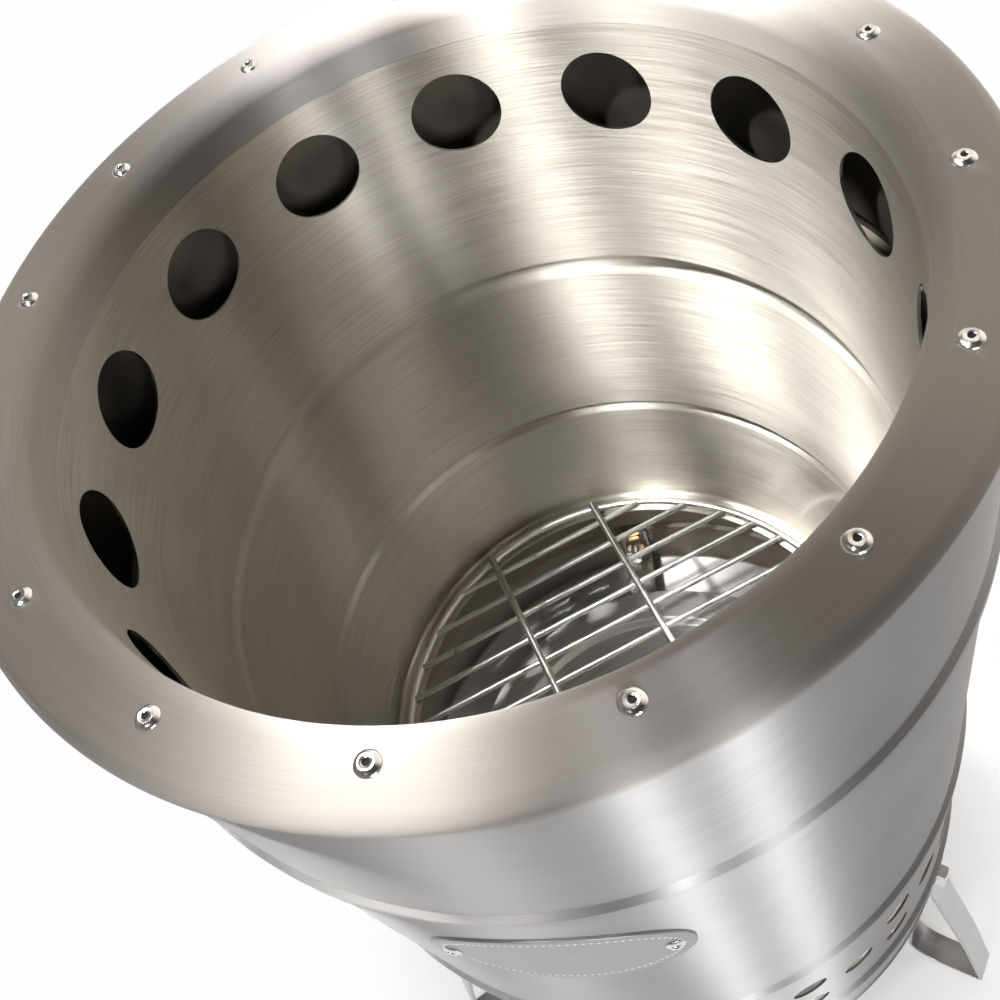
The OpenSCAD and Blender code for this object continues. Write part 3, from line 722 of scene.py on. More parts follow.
def dots_tree():
    """Flat dots along an oval that is bent round the shell."""
    tree, given, out = new_tree("Dots on an oval", (
        ("Width", "Float"), ("Height", "Float"), ("Count", "Int"), ("Dot", "Float"),
        ("Thickness", "Float"), ("Radius", "Float"), ("Level", "Float"), ("Turn", "Float"),
        ("Material", "Material"),
    ))
    ring = add(tree, "GeometryNodeCurvePrimitiveCircle", {"Resolution": OVAL_SIDES, "Radius": 1.0})
    half_w = maths(tree, "MULTIPLY", given["Width"], 0.5)
    half_h = maths(tree, "MULTIPLY", given["Height"], 0.5)
    size = combine(tree, X=half_w, Y=half_h, Z=1.0)
    oval = add(tree, "GeometryNodeTransform", {"Geometry": ring, "Scale": size})
    even = add(tree, "GeometryNodeResampleCurve", {"Curve": oval, "Count": given["Count"]})
    here = add(tree, "ShaderNodeSeparateXYZ", {0: add(tree, "GeometryNodeInputPosition")})
    ratio = maths(tree, "DIVIDE", here.outputs["X"], given["Radius"])
    angle = maths(tree, "ADD", maths(tree, "ARCSINE", ratio), given["Turn"])
    spot = combine(
        tree, X=maths(tree, "MULTIPLY", maths(tree, "COSINE", angle), given["Radius"]),
        Y=maths(tree, "MULTIPLY", maths(tree, "SINE", angle), given["Radius"]),
        Z=maths(tree, "ADD", here.outputs["Y"], given["Level"]),
    )
    kept = add(tree, "GeometryNodeStoreNamedAttribute", {
        "Geometry": even, "Name": "turned", "Value": angle,
    }, data_type="FLOAT", domain="POINT")
    placed = add(tree, "GeometryNodeSetPosition", {"Geometry": kept, "Position": spot})
    read = add(tree, "GeometryNodeInputNamedAttribute", {"Name": "turned"}, data_type="FLOAT")
    facing = combine(tree, Y=radians(90), Z=read.outputs["Attribute"])
    radius = maths(tree, "MULTIPLY", given["Dot"], 0.5)
    dot = add(tree, "GeometryNodeMeshCylinder", {
        "Vertices": DOT_SIDES, "Radius": radius, "Depth": given["Thickness"],
    })
    copies = add(tree, "GeometryNodeInstanceOnPoints", {
        "Points": placed, "Instance": dot.outputs["Mesh"], "Rotation": facing,
    })
    return finish_tree(tree, out, copies, given["Material"])


TREE_MAKERS = {
    "Pieces round the axis": pieces_tree,
    "Round holes": holes_tree,
    "Cut by a piece": cut_tree,
    "Bars across a ring": bars_tree,
    "Dots on an oval": dots_tree,
}


def run_tree(piece, tree_name, values):
    """Runs a tree on a piece with its named inputs, and keeps the result as a plain mesh."""
    tree = bpy.data.node_groups.get(tree_name) or TREE_MAKERS[tree_name]()
    modifier = piece.modifiers.new(tree_name, "NODES")
    modifier.node_group = tree
    for item in tree.interface.items_tree:
        if item.in_out == "INPUT" and item.name in values:
            modifier[item.identifier] = values[item.name]
    depsgraph = bpy.context.evaluated_depsgraph_get()
    mesh = bpy.data.meshes.new_from_object(piece.evaluated_get(depsgraph), depsgraph=depsgraph)
    piece.modifiers.clear()
    piece.data = mesh
    mesh.name = piece.name
    if len(mesh.polygons) == 0:
        raise RuntimeError(f"{tree_name} made nothing of {piece.name}")
    return piece


def set_round(name, source, count, first, step, material):
    """Copies of a source piece round the axis, as one new piece. The source goes."""
    piece = run_tree(make_piece(name), "Pieces round the axis", {
        "Piece": source, "Count": count, "First": first, "Step": step, "Material": material,
    })
    bpy.data.objects.remove(source)
    return piece


# Shader node groups and materials

def shader_group(name, inputs, outputs):
    """An empty shader group with float inputs and float outputs."""
    group = bpy.data.node_groups.new(name, "ShaderNodeTree")
    for label, value in inputs:
        socket = group.interface.new_socket(label, in_out="INPUT", socket_type="NodeSocketFloat")
        socket.default_value = value
    for label in outputs:
        group.interface.new_socket(label, in_out="OUTPUT", socket_type="NodeSocketFloat")
    return group, group.nodes.new("NodeGroupInput").outputs, group.nodes.new("NodeGroupOutput")


def noise(tree, where, scale, detail, roughness=0.5):
    """The grey output of a noise texture."""
    return add(tree, "ShaderNodeTexNoise", {
        "Vector": where, "Scale": scale, "Detail": detail, "Roughness": roughness,
    }).outputs[0]


def end_grain(group, given, out, point, detail, roughness):
    """Ends a grain group: lines from its point, and cloudy patches."""
    group.links.new(noise(group, point, 1.0, detail, roughness), out.inputs["Lines"])
    here = add(group, "ShaderNodeTexCoord").outputs["Object"]
    group.links.new(noise(group, here, given["Clouds"], 3.0), out.inputs["Patches"])
    return group


def turned_grain():
    """Brushing that runs round the barrel's axis, fine across and long along."""
    group, given, out = shader_group(
        "Turned grain", (("Along", 4.0), ("Across", 900.0), ("Clouds", 9.0)), ("Lines", "Patches"),
    )
    here = add(group, "ShaderNodeTexCoord").outputs["Object"]
    split = add(group, "ShaderNodeSeparateXYZ", {0: here})
    level = add(group, "ShaderNodeVectorMath", {0: here, 1: (1, 1, 0)}, operation="MULTIPLY")
    radius = add(group, "ShaderNodeVectorMath", {0: level}, operation="LENGTH")
    facing = add(group, "ShaderNodeVectorMath", {0: level}, operation="NORMALIZE")
    across = maths(group, "ADD", split.outputs["Z"], radius.outputs["Value"])
    ring = add(group, "ShaderNodeVectorMath", {
        0: facing, "Scale": given["Along"],
    }, operation="SCALE")
    flat = add(group, "ShaderNodeSeparateXYZ", {0: ring})
    point = combine(
        group, X=flat.outputs["X"], Y=flat.outputs["Y"],
        Z=maths(group, "MULTIPLY", across, given["Across"]),
    )
    return end_grain(group, given, out, point, detail=4.0, roughness=0.65)


def strap_grain():
    """Brushing along a strap, in the strap's own UV map."""
    group, given, out = shader_group(
        "Strap grain", (("Along", 25.0), ("Across", 2200.0), ("Clouds", 30.0)), ("Lines", "Patches"),
    )
    here = add(group, "ShaderNodeUVMap", uv_map="Strap")
    split = add(group, "ShaderNodeSeparateXYZ", {0: here})
    point = combine(
        group, X=maths(group, "MULTIPLY", split.outputs["X"], given["Along"]),
        Y=maths(group, "MULTIPLY", split.outputs["Y"], given["Across"]),
    )
    return end_grain(group, given, out, point, detail=3.0, roughness=0.6)


GROUP_MAKERS = {"Turned grain": turned_grain, "Strap grain": strap_grain}
# The middle range of a noise's values
NOISE_LOW = 0.3
NOISE_HIGH = 0.7
# How much the lines and the patches of brushed metal change its roughness
LINE_ROUGH = 0.05
PATCH_ROUGH = 0.03
QUARTER_TURN = 0.25
# The dark specks of plain metal as a share of its tone, and how much they change its roughness
SPECK_TONE = 0.82
SPECK_SMOOTH = 0.05
SPECK_ROUGH = 0.07
FINE_GRAIN = 900.0
FINE_HEIGHT = 0.00002


def place_group(tree, name, values):
    """A shader group in a material, with its own values."""
    node = tree.nodes.new("ShaderNodeGroup")
    node.node_tree = bpy.data.node_groups.get(name) or GROUP_MAKERS[name]()
    for key, value in values.items():
        node.inputs[key].default_value = value
    return node


def spread(tree, value, low, high):
    """Maps a noise's middle range to a range of values."""
    return add(tree, "ShaderNodeMapRange", {
        "Value": value, "From Min": NOISE_LOW, "From Max": NOISE_HIGH, "To Min": low, "To Max": high,
    }).outputs[0]


def rgb(tone, factor=1.0):
    """A colour with its alpha, made lighter or darker by a factor."""
    return tuple(min(1.0, c * factor) for c in tone[:3]) + (1.0,)


def new_material(name):
    """A material with its Principled shader."""
    material = bpy.data.materials.new(name)
    material.use_nodes = True
    return material, material.node_tree, material.node_tree.nodes["Principled BSDF"]


def mix_colour(tree, factor, a, b):
    """The output of a colour mix, whose colours are the inputs 6 and 7."""
    return add(tree, "ShaderNodeMix", {0: factor, 6: a, 7: b}, data_type="RGBA").outputs[2]


def brushed_steel(name, light, dark, rough, stretch, line_height, dent_height, grain, values, polish):
    """Brushed metal: tone, roughness and relief follow the grain, and slow patches make it uneven.

    Polish is the height where the metal starts to shine more, the height below which it shines
    most, and its roughness there as a share.
    """
    material, tree, shader = new_material(name)
    group = place_group(tree, grain, values)
    lines, patches = group.outputs["Lines"], group.outputs["Patches"]
    tone = mix_colour(tree, spread(tree, lines, 0.0, 1.0), dark, light)
    tree.links.new(tone, shader.inputs["Base Color"])
    uneven = spread(tree, patches, -PATCH_ROUGH, PATCH_ROUGH)
    ruled = spread(tree, lines, rough - LINE_ROUGH, rough + LINE_ROUGH)
    total = maths(tree, "ADD", ruled, uneven)
    if polish:
        here = add(tree, "ShaderNodeTexCoord").outputs["Object"]
        level = add(tree, "ShaderNodeSeparateXYZ", {0: here}).outputs["Z"]
        starts, full, polished = polish
        total = maths(tree, "MULTIPLY", total, smooth_step(tree, level, full, starts, polished, 1.0))
    tree.links.new(total, shader.inputs["Roughness"])
    relief = add(tree, "ShaderNodeBump", {"Height": patches, "Distance": dent_height, "Strength": 1.0})
    grooves = add(tree, "ShaderNodeBump", {
        "Height": lines, "Distance": line_height, "Strength": 1.0, "Normal": relief,
    })
    tree.links.new(grooves.outputs[0], shader.inputs["Normal"])
    shader.inputs["Metallic"].default_value = 1.0
    shader.inputs["Anisotropic"].default_value = stretch
    if grain == "Turned grain":
        tangent = add(tree, "ShaderNodeTangent", direction_type="RADIAL", axis="Z")
        tree.links.new(tangent.outputs[0], shader.inputs["Tangent"])
        shader.inputs["Anisotropic Rotation"].default_value = QUARTER_TURN
    return material


def plain_metal(name, light, rough, speck):
    """Plain metal with slightly uneven tone and roughness, for fixings and wire."""
    material, tree, shader = new_material(name)
    here = add(tree, "ShaderNodeTexCoord").outputs["Object"]
    specks = noise(tree, here, speck, 4.0)
    tone = mix_colour(tree, spread(tree, specks, 0.0, 1.0), rgb(light, SPECK_TONE), rgb(light))
    tree.links.new(tone, shader.inputs["Base Color"])
    uneven = spread(tree, specks, rough - SPECK_SMOOTH, rough + SPECK_ROUGH)
    tree.links.new(uneven, shader.inputs["Roughness"])
    fine = noise(tree, here, FINE_GRAIN, 2.0)
    bump = add(tree, "ShaderNodeBump", {"Height": fine, "Distance": FINE_HEIGHT})
    tree.links.new(bump.outputs[0], shader.inputs["Normal"])
    shader.inputs["Metallic"].default_value = 1.0
    return material


# Brushed finishes: the names of their tones and roughness, the stretch of the highlight, the heights
# of lines and dents, the grain and its values, and the polish
BRUSHED = {
    # The rim's tones are painted shade, darker than the same steel on the shell
    "rim_steel": (
        "steel", "steel_dark", "rim_rough", 1.0, 0.000018, 0.0002,
        "Turned grain", {"Along": 3.0, "Across": 1500.0}, None),
    "drum_steel": (
        "drum", "drum_dark", "drum_rough", 1.0, 0.00003, 0.0008,
        "Turned grain", {"Along": 3.0, "Across": 1300.0}, (0.46, 0.39, 0.72)),
    "shell_steel": (
        "shell", "shell_dark", "shell_rough", 1.0, 0.00003, 0.0004,
        "Turned grain", {"Along": 4.0, "Across": 1500.0}, None),
    "ash_steel": (
        "bright", "shell", "ash_rough", 0.3, 0.00001, 0.0006,
        "Turned grain", {"Along": 2.0, "Across": 900.0}, None),
    "strap_steel": (
        "shell", "shell_dark", "strap_rough", 0.3, 0.00001, 0.0003,
        "Strap grain", {}, None),
}
# Plain finishes: the name of the tone, the roughness and the scale of the specks
PLAIN = {
    # The jacket's dark tone is painted shade inside the shell
    "jacket_steel": ("inside", 0.6, 40.0),
    "edge_steel": ("bright", 0.2, 60.0),
    "rivet_steel": ("bright", 0.16, 200.0),
    # The stems' near black is painted shade in the rivets' bores
    "stem_steel": ("dark", 0.5, 400.0),
    "wire_steel": ("bright", 0.32, 80.0),
    "bolt_steel": ("bright", 0.3, 120.0),
    "brass_nut": ("brass", 0.3, 150.0),
    "plate_steel": ("enamel", 0.42, 90.0),
    "plate_border": ("dots", 0.6, 120.0),
}


def make_finish(name):
    """The material of one finish, made when it is first asked for."""
    found = bpy.data.materials.get(FINISH_PREFIX + name)
    if found:
        return found
    finish = bpy.context.scene.barrel_finish
    if name in BRUSHED:
        light, dark, rough, *rest = BRUSHED[name]
        tones = rgb(getattr(finish, light)), rgb(getattr(finish, dark))
        material = brushed_steel(name, *tones, getattr(finish, rough), *rest)
    else:
        tone, rough, speck = PLAIN[name]
        material = plain_metal(name, getattr(finish, tone), rough, speck)
    material.name = FINISH_PREFIX + name
    return material


def dress(piece, body, nodes, materials):
    """Gives a finished piece its materials, with each face in its slot among them, and its body, and hides
    the nodes of the packed model that it stands for.
    """
    chosen = np.zeros(len(piece.data.polygons), np.int32)
    piece.data.polygons.foreach_get("material_index", chosen)
    piece.data.materials.clear()
    for name in materials:
        piece.data.materials.append(make_finish(name))
    piece.data.polygons.foreach_set("material_index", np.minimum(chosen, len(materials) - 1))
    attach(piece, body)
    if nodes:
        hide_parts(*nodes)
    return piece


# Pieces

def rim_outline(s):
    """Outline of the rim ring."""
    out_c = (s.rim_r - s.outer_roll, -s.outer_roll)
    in_c = (s.drum_r + s.inner_roll, -s.inner_roll)
    lip_r = s.shell_r + s.lap_gap
    top = [(s.drum_r, -s.inner_lip)]
    top += arc(in_c, s.inner_roll, 180, 90)
    top += arc(out_c, s.outer_roll, 90, 0)
    top += [(lip_r + s.sheet, -s.outer_lip)]
    under = [(lip_r, -s.outer_lip)]
    under += arc(out_c, s.outer_roll - s.sheet, 0, 90)
    under += arc(in_c, s.inner_roll - s.sheet, 90, 180)
    under += [(s.drum_r + s.sheet, -s.inner_lip)]
    return top + under


def drum_outline(s, rivet_r):
    """Outline of the drum, from its flange down its inside and up its outside."""
    flange_r = rivet_r + s.flange_overlap
    flange_z = -s.sheet - s.lap_gap
    roll = s.inner_roll - s.sheet - s.lap_gap
    in_c = (s.drum_r + s.inner_roll, -s.inner_roll)
    lap_r = s.drum_r + s.sheet + s.lap_gap
    lap_z = -s.inner_lip - s.lap_gap
    low_c = (s.drum_r - s.drum_corner, -s.drum_depth + s.drum_corner)
    inside = [(flange_r, flange_z)]
    inside += arc(in_c, roll, 90, 180)
    inside += [(lap_r, lap_z), (s.drum_r, lap_z)]
    inside += bead_points(s.upper_bead, s.upper_bead_h, s.drum_r, s.bead_out)
    inside += bead_points(s.lower_bead, s.lower_bead_h, s.drum_r, s.bead_out)
    inside += arc(low_c, s.drum_corner, 0, -90)
    inside += [(s.ledge_r, -s.drum_depth)]
    outside = [(s.ledge_r, -s.drum_depth - s.sheet)]
    outside += arc(low_c, s.drum_corner + s.sheet, -90, 0)
    wide = s.drum_r + s.sheet
    outside += bead_points(s.lower_bead, s.lower_bead_h, wide, s.bead_out)[::-1]
    outside += bead_points(s.upper_bead, s.upper_bead_h, wide, s.bead_out)[::-1]
    outside += [(wide, lap_z - s.sheet), (lap_r + s.sheet, lap_z)]
    outside += arc(in_c, roll - s.sheet, 180, 90)
    outside += [(flange_r, flange_z - s.sheet)]
    return inside + outside


def shell_outline(s):
    """Outline of the outer shell, from its outside face."""
    top_z = -2 * (s.sheet + s.lap_gap)
    line, radii = [(s.drum_r + s.inner_roll, top_z), (s.shell_r, top_z)], [s.shell_bend]
    for depth in (s.upper_ridge, s.middle_ridge, s.lower_ridge):
        line += [
            (s.shell_r, -depth),
            (s.shell_r + s.ridge_out, -depth - s.ridge_slope),
            (s.shell_r + s.ridge_out, -depth - s.ridge_h + s.ridge_slope),
            (s.shell_r, -depth - s.ridge_h),
        ]
        radii += [s.ridge_edge] * 4
    line += [
        (s.shell_r, -s.shell_depth + s.hem_h + s.hem_out),
        (s.shell_r + s.hem_out, -s.shell_depth + s.hem_h),
        (s.shell_r + s.hem_out, -s.shell_depth),
        (s.shell_r - s.sheet - s.flange_w, -s.shell_depth),
    ]
    radii += [0.0, 0.0, s.drum_corner]
    return wall_outline(rounded(line, radii), -s.sheet)


# The dome of a rivet's head, as shares of its radius and height, and the mouth of its bore
HEAD_SHAPE = (
    (1.0, 0.0), (1.0, 0.14), (0.93, 0.36), (0.78, 0.58), (0.64, 0.72), (0.6, 0.8), (0.58, 1.0), (0.36, 1.0),
)
BORE_MOUTH = 0.92
HEAD_COLUMNS = 40
STEM_COLUMNS = 24
# Length of a rivet's body below its head, the height of the broken stem in it as a share of the
# head's, and the burr on the stem with its width as a share of the stem's
BODY_LENGTH = 0.002
STEM_LEVEL = 0.7
STEM_BURR = 0.0001
STEM_TIP = 0.6


def blind_rivet_head(name, f):
    """The dome of a blind rivet with its collar and bore, its seat at zero and its head up."""
    bore, body_r = f.stem_d / 2 + FIT, f.body_d / 2
    line = [(bore, -BODY_LENGTH), (body_r, -BODY_LENGTH), (body_r, 0.0)]
    line += [(f.head_d / 2 * wide, f.head_h * high) for wide, high in HEAD_SHAPE]
    line += [(bore, f.head_h * BORE_MOUTH)]
    return revolve(name, line, HEAD_COLUMNS, level=0.0)[0]


def stem_end(name, f):
    """The broken end of the stem in a blind rivet."""
    r, top = f.stem_d / 2, f.head_h * STEM_LEVEL
    line = [(0, -BODY_LENGTH), (r, -BODY_LENGTH), (r, top), (r * STEM_TIP, top + STEM_BURR), (0, top)]
    return revolve(name, line, STEM_COLUMNS, closed=False, level=0.0)[0]


def smoothed(piece, limit):
    """A piece shaded smooth, but for edges sharper than a limit."""
    piece.data.shade_smooth()
    piece.data.set_sharp_from_angle(angle=limit)
    return piece


def moved(piece, matrix):
    """A piece with its mesh moved."""
    piece.data.transform(matrix)
    return piece


def shift(x=0.0, y=0.0, z=0.0):
    """A matrix that moves."""
    return Matrix.Translation((x, y, z))


FACE_OUT = Matrix.Rotation(radians(90), 4, "Y")
FACE_DOWN = Matrix.Rotation(radians(180), 4, "X")


HEX_COLUMNS = 96
# Radius of a hexagon's flat round face, as a share of half its width, and the slope of its chamfer
FACE_SHARE = 0.96
CHAMFER_SLOPE = tan(radians(30))


def hexagon(name, flats, height, bore_r):
    """A hexagon with chamfered corners, standing on zero. With a bore it is a nut with two chamfers."""
    columns = HEX_COLUMNS
    angles = [2 * pi * i / columns for i in range(columns)]
    hex_r = [flats / 2 / cos((a + pi / 6) % (pi / 3) - pi / 6) for a in angles]
    face_r = flats / 2 * FACE_SHARE
    chamfer = [(h - face_r) * CHAMFER_SLOPE for h in hex_r]
    rings = [
        (hex_r, chamfer if bore_r > 0 else [0.0] * columns),
        (hex_r, [height - c for c in chamfer]),
        ([face_r] * columns, [height] * columns),
    ]
    if bore_r > 0:
        rings.insert(0, ([face_r] * columns, [0.0] * columns))
        rings.insert(0, ([bore_r] * columns, [0.0] * columns))
        rings.append(([bore_r] * columns, [height] * columns))
    verts = [
        (r * cos(a), r * sin(a), z)
        for radii, levels in rings for r, a, z in zip(radii, angles, levels)
    ]
    last = len(rings) - 1
    faces = ring_faces(columns, [(i, i + 1) for i in range(last)])
    if bore_r > 0:
        faces += ring_faces(columns, [(last, 0)])
    else:
        faces += [list(range(columns))[::-1], [last * columns + c for c in range(columns)]]
    return smoothed(make_piece(name, verts, faces), HEX_LIMIT)


# Depth of a bolt's thread as a share of its pitch, and the plain shank under the head
THREAD_DEPTH = 0.6
PLAIN_SHANK = 0.001
ROD_COLUMNS = 32


def threaded_rod(name, f):
    """A bolt's shank with its thread, from zero down, with a chamfered end."""
    radius = f.bolt_d / 2
    root = radius - THREAD_DEPTH * f.bolt_pitch
    line = [(0, 0), (radius, 0)]
    z = -PLAIN_SHANK
    while z > -f.bolt_len + 0.5 * f.bolt_pitch:
        line += [(radius, z), (root, z - 0.5 * f.bolt_pitch)]
        z -= f.bolt_pitch
    line += [(root, -f.bolt_len), (0, -f.bolt_len)]
    return revolve(name, line[::-1], ROD_COLUMNS, closed=False, level=0.0)[0]


def joined(name, parts):
    """Several pieces made one."""
    with bpy.context.temp_override(
        active_object=parts[0], object=parts[0], selected_editable_objects=parts, selected_objects=parts
    ):
        bpy.ops.object.join()
    parts[0].name = name
    parts[0].data.name = name
    return parts[0]


# Radius of the name plate's edge, the number of points round it, and the scales of its inner rings
# of points above and below
PLATE_EDGE = 0.0004
PLATE_COLUMNS = 144
PLATE_RINGS = (0.93, 0.9, 0.7, 0.5, 0.3, 0.12)
UNDER_RINGS = (0.7, 0.4)


def oval_plate(name, width, height, r_low, r_high, az, level):
    """An oval plate bent round the shell, with its outer edge rounded."""
    rings = [(1.0 - PLATE_EDGE * 2 / width * k, r) for k, r in (
        (0.0, r_low), (0.0, r_high - PLATE_EDGE), (0.3, r_high - 0.3 * PLATE_EDGE), (1.0, r_high),
    )]
    rings += [(s, r_high) for s in PLATE_RINGS]
    count = PLATE_COLUMNS
    verts = []

    def point(scale, angle, r):
        x = width / 2 * scale * cos(angle)
        z = height / 2 * scale * sin(angle)
        a = az + asin(x / r_high)
        return (r * cos(a), r * sin(a), level + z)

    for s, r in rings:
        verts += [point(s, 2 * pi * i / count, r) for i in range(count)]
    top = len(verts)
    verts.append(point(0, 0, r_high))
    low_start = len(verts)
    for s in UNDER_RINGS:
        verts += [point(s, 2 * pi * i / count, r_low) for i in range(count)]
    bottom = len(verts)
    verts.append(point(0, 0, r_low))
    faces = ring_faces(count, [(k, k + 1) for k in range(len(rings) - 1)])
    last = (len(rings) - 1) * count
    for i in range(count):
        j = (i + 1) % count
        faces.append([last + i, last + j, top])
        faces.append([j, i, low_start + i, low_start + j])
        faces.append([low_start + j, low_start + i, low_start + count + i, low_start + count + j])
        faces.append([low_start + count + j, low_start + count + i, bottom])
    return smoothed(make_piece(name, verts, faces), PLATE_LIMIT)


class BARREL_OT_rim(bpy.types.Operator):
    """Builds the rolled rim ring"""

    bl_idname = "barrel.rim"
    bl_label = "Rim Ring"

    def execute(self, context):
        piece, _ = revolve("rolled_rim", rim_outline(context.scene.barrel_sheet))
        dress(piece, "barrel", ["rim_ring"], ["rim_steel"])
        return {"FINISHED"}


VENT_ROWS = 3
# How much a face has to look at the axis to count as inward
INWARD = 0.2


def paint_shade_inside(piece, inner_r, index):
    """Gives the inward faces of a wall, those that look at the axis, a material of their own, whose dark
    tone paints the shade inside the jacket.
    """
    for face in piece.data.polygons:
        x, y = face.center.x, face.center.y
        inward = face.normal.x * x + face.normal.y * y < -INWARD * hypot(x, y)
        if inward and face.material_index == 0 and hypot(x, y) > inner_r:
            face.material_index = index


def perforated(piece, outline, rows, inner, outer, slot):
    """Cuts rows of round holes in a wall, and gives it back its smooth normals."""
    holes = []
    for count, first, step, radius, level in rows:
        run_tree(piece, "Round holes", {
            "Count": count, "First": first, "Step": step, "Radius": radius, "Height": level,
            "From": inner, "To": outer, "Material": make_finish(slot),
        })
        holes += [(first + step * i, level, radius) for i in range(count)]
    piece.data.materials.clear()
    restore_normals(piece, outline, holes, 1)
    return piece


class BARREL_OT_drum(bpy.types.Operator):
    """Builds the drum with its round holes, beads and ledge"""

    bl_idname = "barrel.drum"
    bl_label = "Drum"

    def execute(self, context):
        s, h = context.scene.barrel_sheet, context.scene.barrel_holes
        piece, outline = revolve("perforated_drum", drum_outline(s, context.scene.barrel_fixings.rivet_r))
        step = 2 * pi / h.draught_count
        rows = [(h.draught_count, h.draught_az, step, h.draught_d / 2, RIM_HEIGHT - h.draught_depth)]
        perforated(piece, outline, rows, s.ledge_r, s.shell_r, "drum_steel")
        dress(piece, "barrel", ["drum"], ["drum_steel", "edge_steel"])
        return {"FINISHED"}


class BARREL_OT_shell(bpy.types.Operator):
    """Builds the outer shell with its ridges and air holes"""

    bl_idname = "barrel.shell"
    bl_label = "Outer Shell"

    def execute(self, context):
        s, h = context.scene.barrel_sheet, context.scene.barrel_holes
        piece, outline = revolve("vented_shell", shell_outline(s))
        step = 2 * pi / h.vent_columns
        rows = []
        for k in range(VENT_ROWS):
            first = h.vent_az + step / 2 * (k % 2)
            level = RIM_HEIGHT - h.vent_depth - k * h.vent_pitch
            rows.append((h.vent_columns, first, step, h.vent_d / 2, level))
        perforated(piece, outline, rows, s.drum_r, s.rim_r + s.inner_roll, "shell_steel")
        paint_shade_inside(piece, s.drum_r, 1)
        dress(piece, "barrel", ["outer_shell"], ["shell_steel", "jacket_steel"])
        return {"FINISHED"}


class BARREL_OT_rivets(bpy.types.Operator):
    """Sets the blind rivets in the rim, the name plate and the feet"""

    bl_idname = "barrel.rivets"
    bl_label = "Rivets"

    def execute(self, context):
        scene = context.scene
        f, p, s, feet = scene.barrel_fixings, scene.barrel_plate, scene.barrel_sheet, scene.barrel_feet
        plate_r = s.shell_r + s.lap_gap + p.thickness
        plate_turn = asin(p.rivet_pitch / 2 / plate_r)
        tab_r = feet.inner_r - feet.tab_len / 2 - feet.strap_t / 2
        tab_z = RIM_HEIGHT - s.shell_depth - feet.strap_gap - feet.strap_t
        foot_step = 2 * pi / feet.foot_count
        places = (
            ("rim", f.rivet_count, f.rivet_az, 2 * pi / f.rivet_count,
             [shift(f.rivet_r, 0, RIM_HEIGHT)], "rim_rivets", "rim_rivet_stems"),
            ("plate", 2, p.az - plate_turn, 2 * plate_turn,
             [FACE_OUT, shift(plate_r, 0, RIM_HEIGHT - p.depth)], "plate_rivets", "plate_rivet_stems"),
            ("foot", feet.foot_count, feet.foot_az, foot_step,
             [FACE_DOWN, shift(tab_r, 0, tab_z)], "foot_rivets", "foot_rivet_stems"),
        )
        for label, count, first, step, places_to, heads, stems in places:
            for part, maker, slot, node in (
                ("heads", blind_rivet_head, "rivet_steel", heads),
                ("stems", stem_end, "stem_steel", stems),
            ):
                source = maker("source", f)
                for matrix in places_to:
                    moved(source, matrix)
                piece = set_round(f"{label}_rivet_{part}", source, count, first, step, make_finish(slot))
                dress(piece, "barrel", [node], [slot])
        return {"FINISHED"}


class BARREL_OT_grate(bpy.types.Operator):
    """Builds the grate from its ring, its bars and its two cross bars"""

    bl_idname = "barrel.grate"
    bl_label = "Grate"

    def execute(self, context):
        s, g = context.scene.barrel_sheet, context.scene.barrel_grate
        level = RIM_HEIGHT - s.drum_depth + g.seat_gap + g.ring_d / 2
        bar_level = level + (g.ring_d - g.bar_d) / 2
        cross_level = bar_level + (g.bar_d + g.cross_d) / 2 + g.weld_gap
        section = [
            (g.ring_r + g.ring_d / 2 * cos(a), level - RIM_HEIGHT + g.ring_d / 2 * sin(a))
            for a in np.linspace(0, 2 * pi, BAR_SIDES + 1)[:-1]
        ]
        ring, _ = revolve("grate_wire_ring", section, SMALL_COLUMNS)
        dress(ring, "grate", ["grate_ring"], ["wire_steel"])
        # The long bars end in the ring's inner face, and the cross bars on top of its wire
        trim = g.ring_d / 2 - g.weld_depth
        for name, node, count, pitch, diameter, height, turned, cut in (
            ("grate_long_bars", "grate_bars", g.bar_count, g.bar_pitch, g.bar_d, bar_level,
             g.turned, trim),
            ("grate_two_cross_bars", "grate_cross_bars", 2, g.cross_pitch, g.cross_d, cross_level,
             g.turned + pi / 2, -g.ring_d / 4),
        ):
            piece = run_tree(make_piece(name), "Bars across a ring", {
                "Ring Radius": g.ring_r, "Trim": cut, "Pitch": pitch, "Count": count,
                "Diameter": diameter, "Height": height, "Turn": turned,
                "Material": make_finish("wire_steel"),
            })
            smoothed(piece, BAR_LIMIT)
            dress(piece, "grate", [node], ["wire_steel"])
        return {"FINISHED"}


def prism(name, outline, tall):
    """A straight upright piece over an outline that runs leftwards round, its middle at zero."""
    count = len(outline)
    verts = [(x, y, z) for z in (-tall / 2, tall / 2) for x, y in outline]
    sides = [[i, (i + 1) % count, count + (i + 1) % count, count + i] for i in range(count)]
    ends = [list(range(count))[::-1], list(range(count, 2 * count))]
    return make_piece(name, verts, ends + sides)


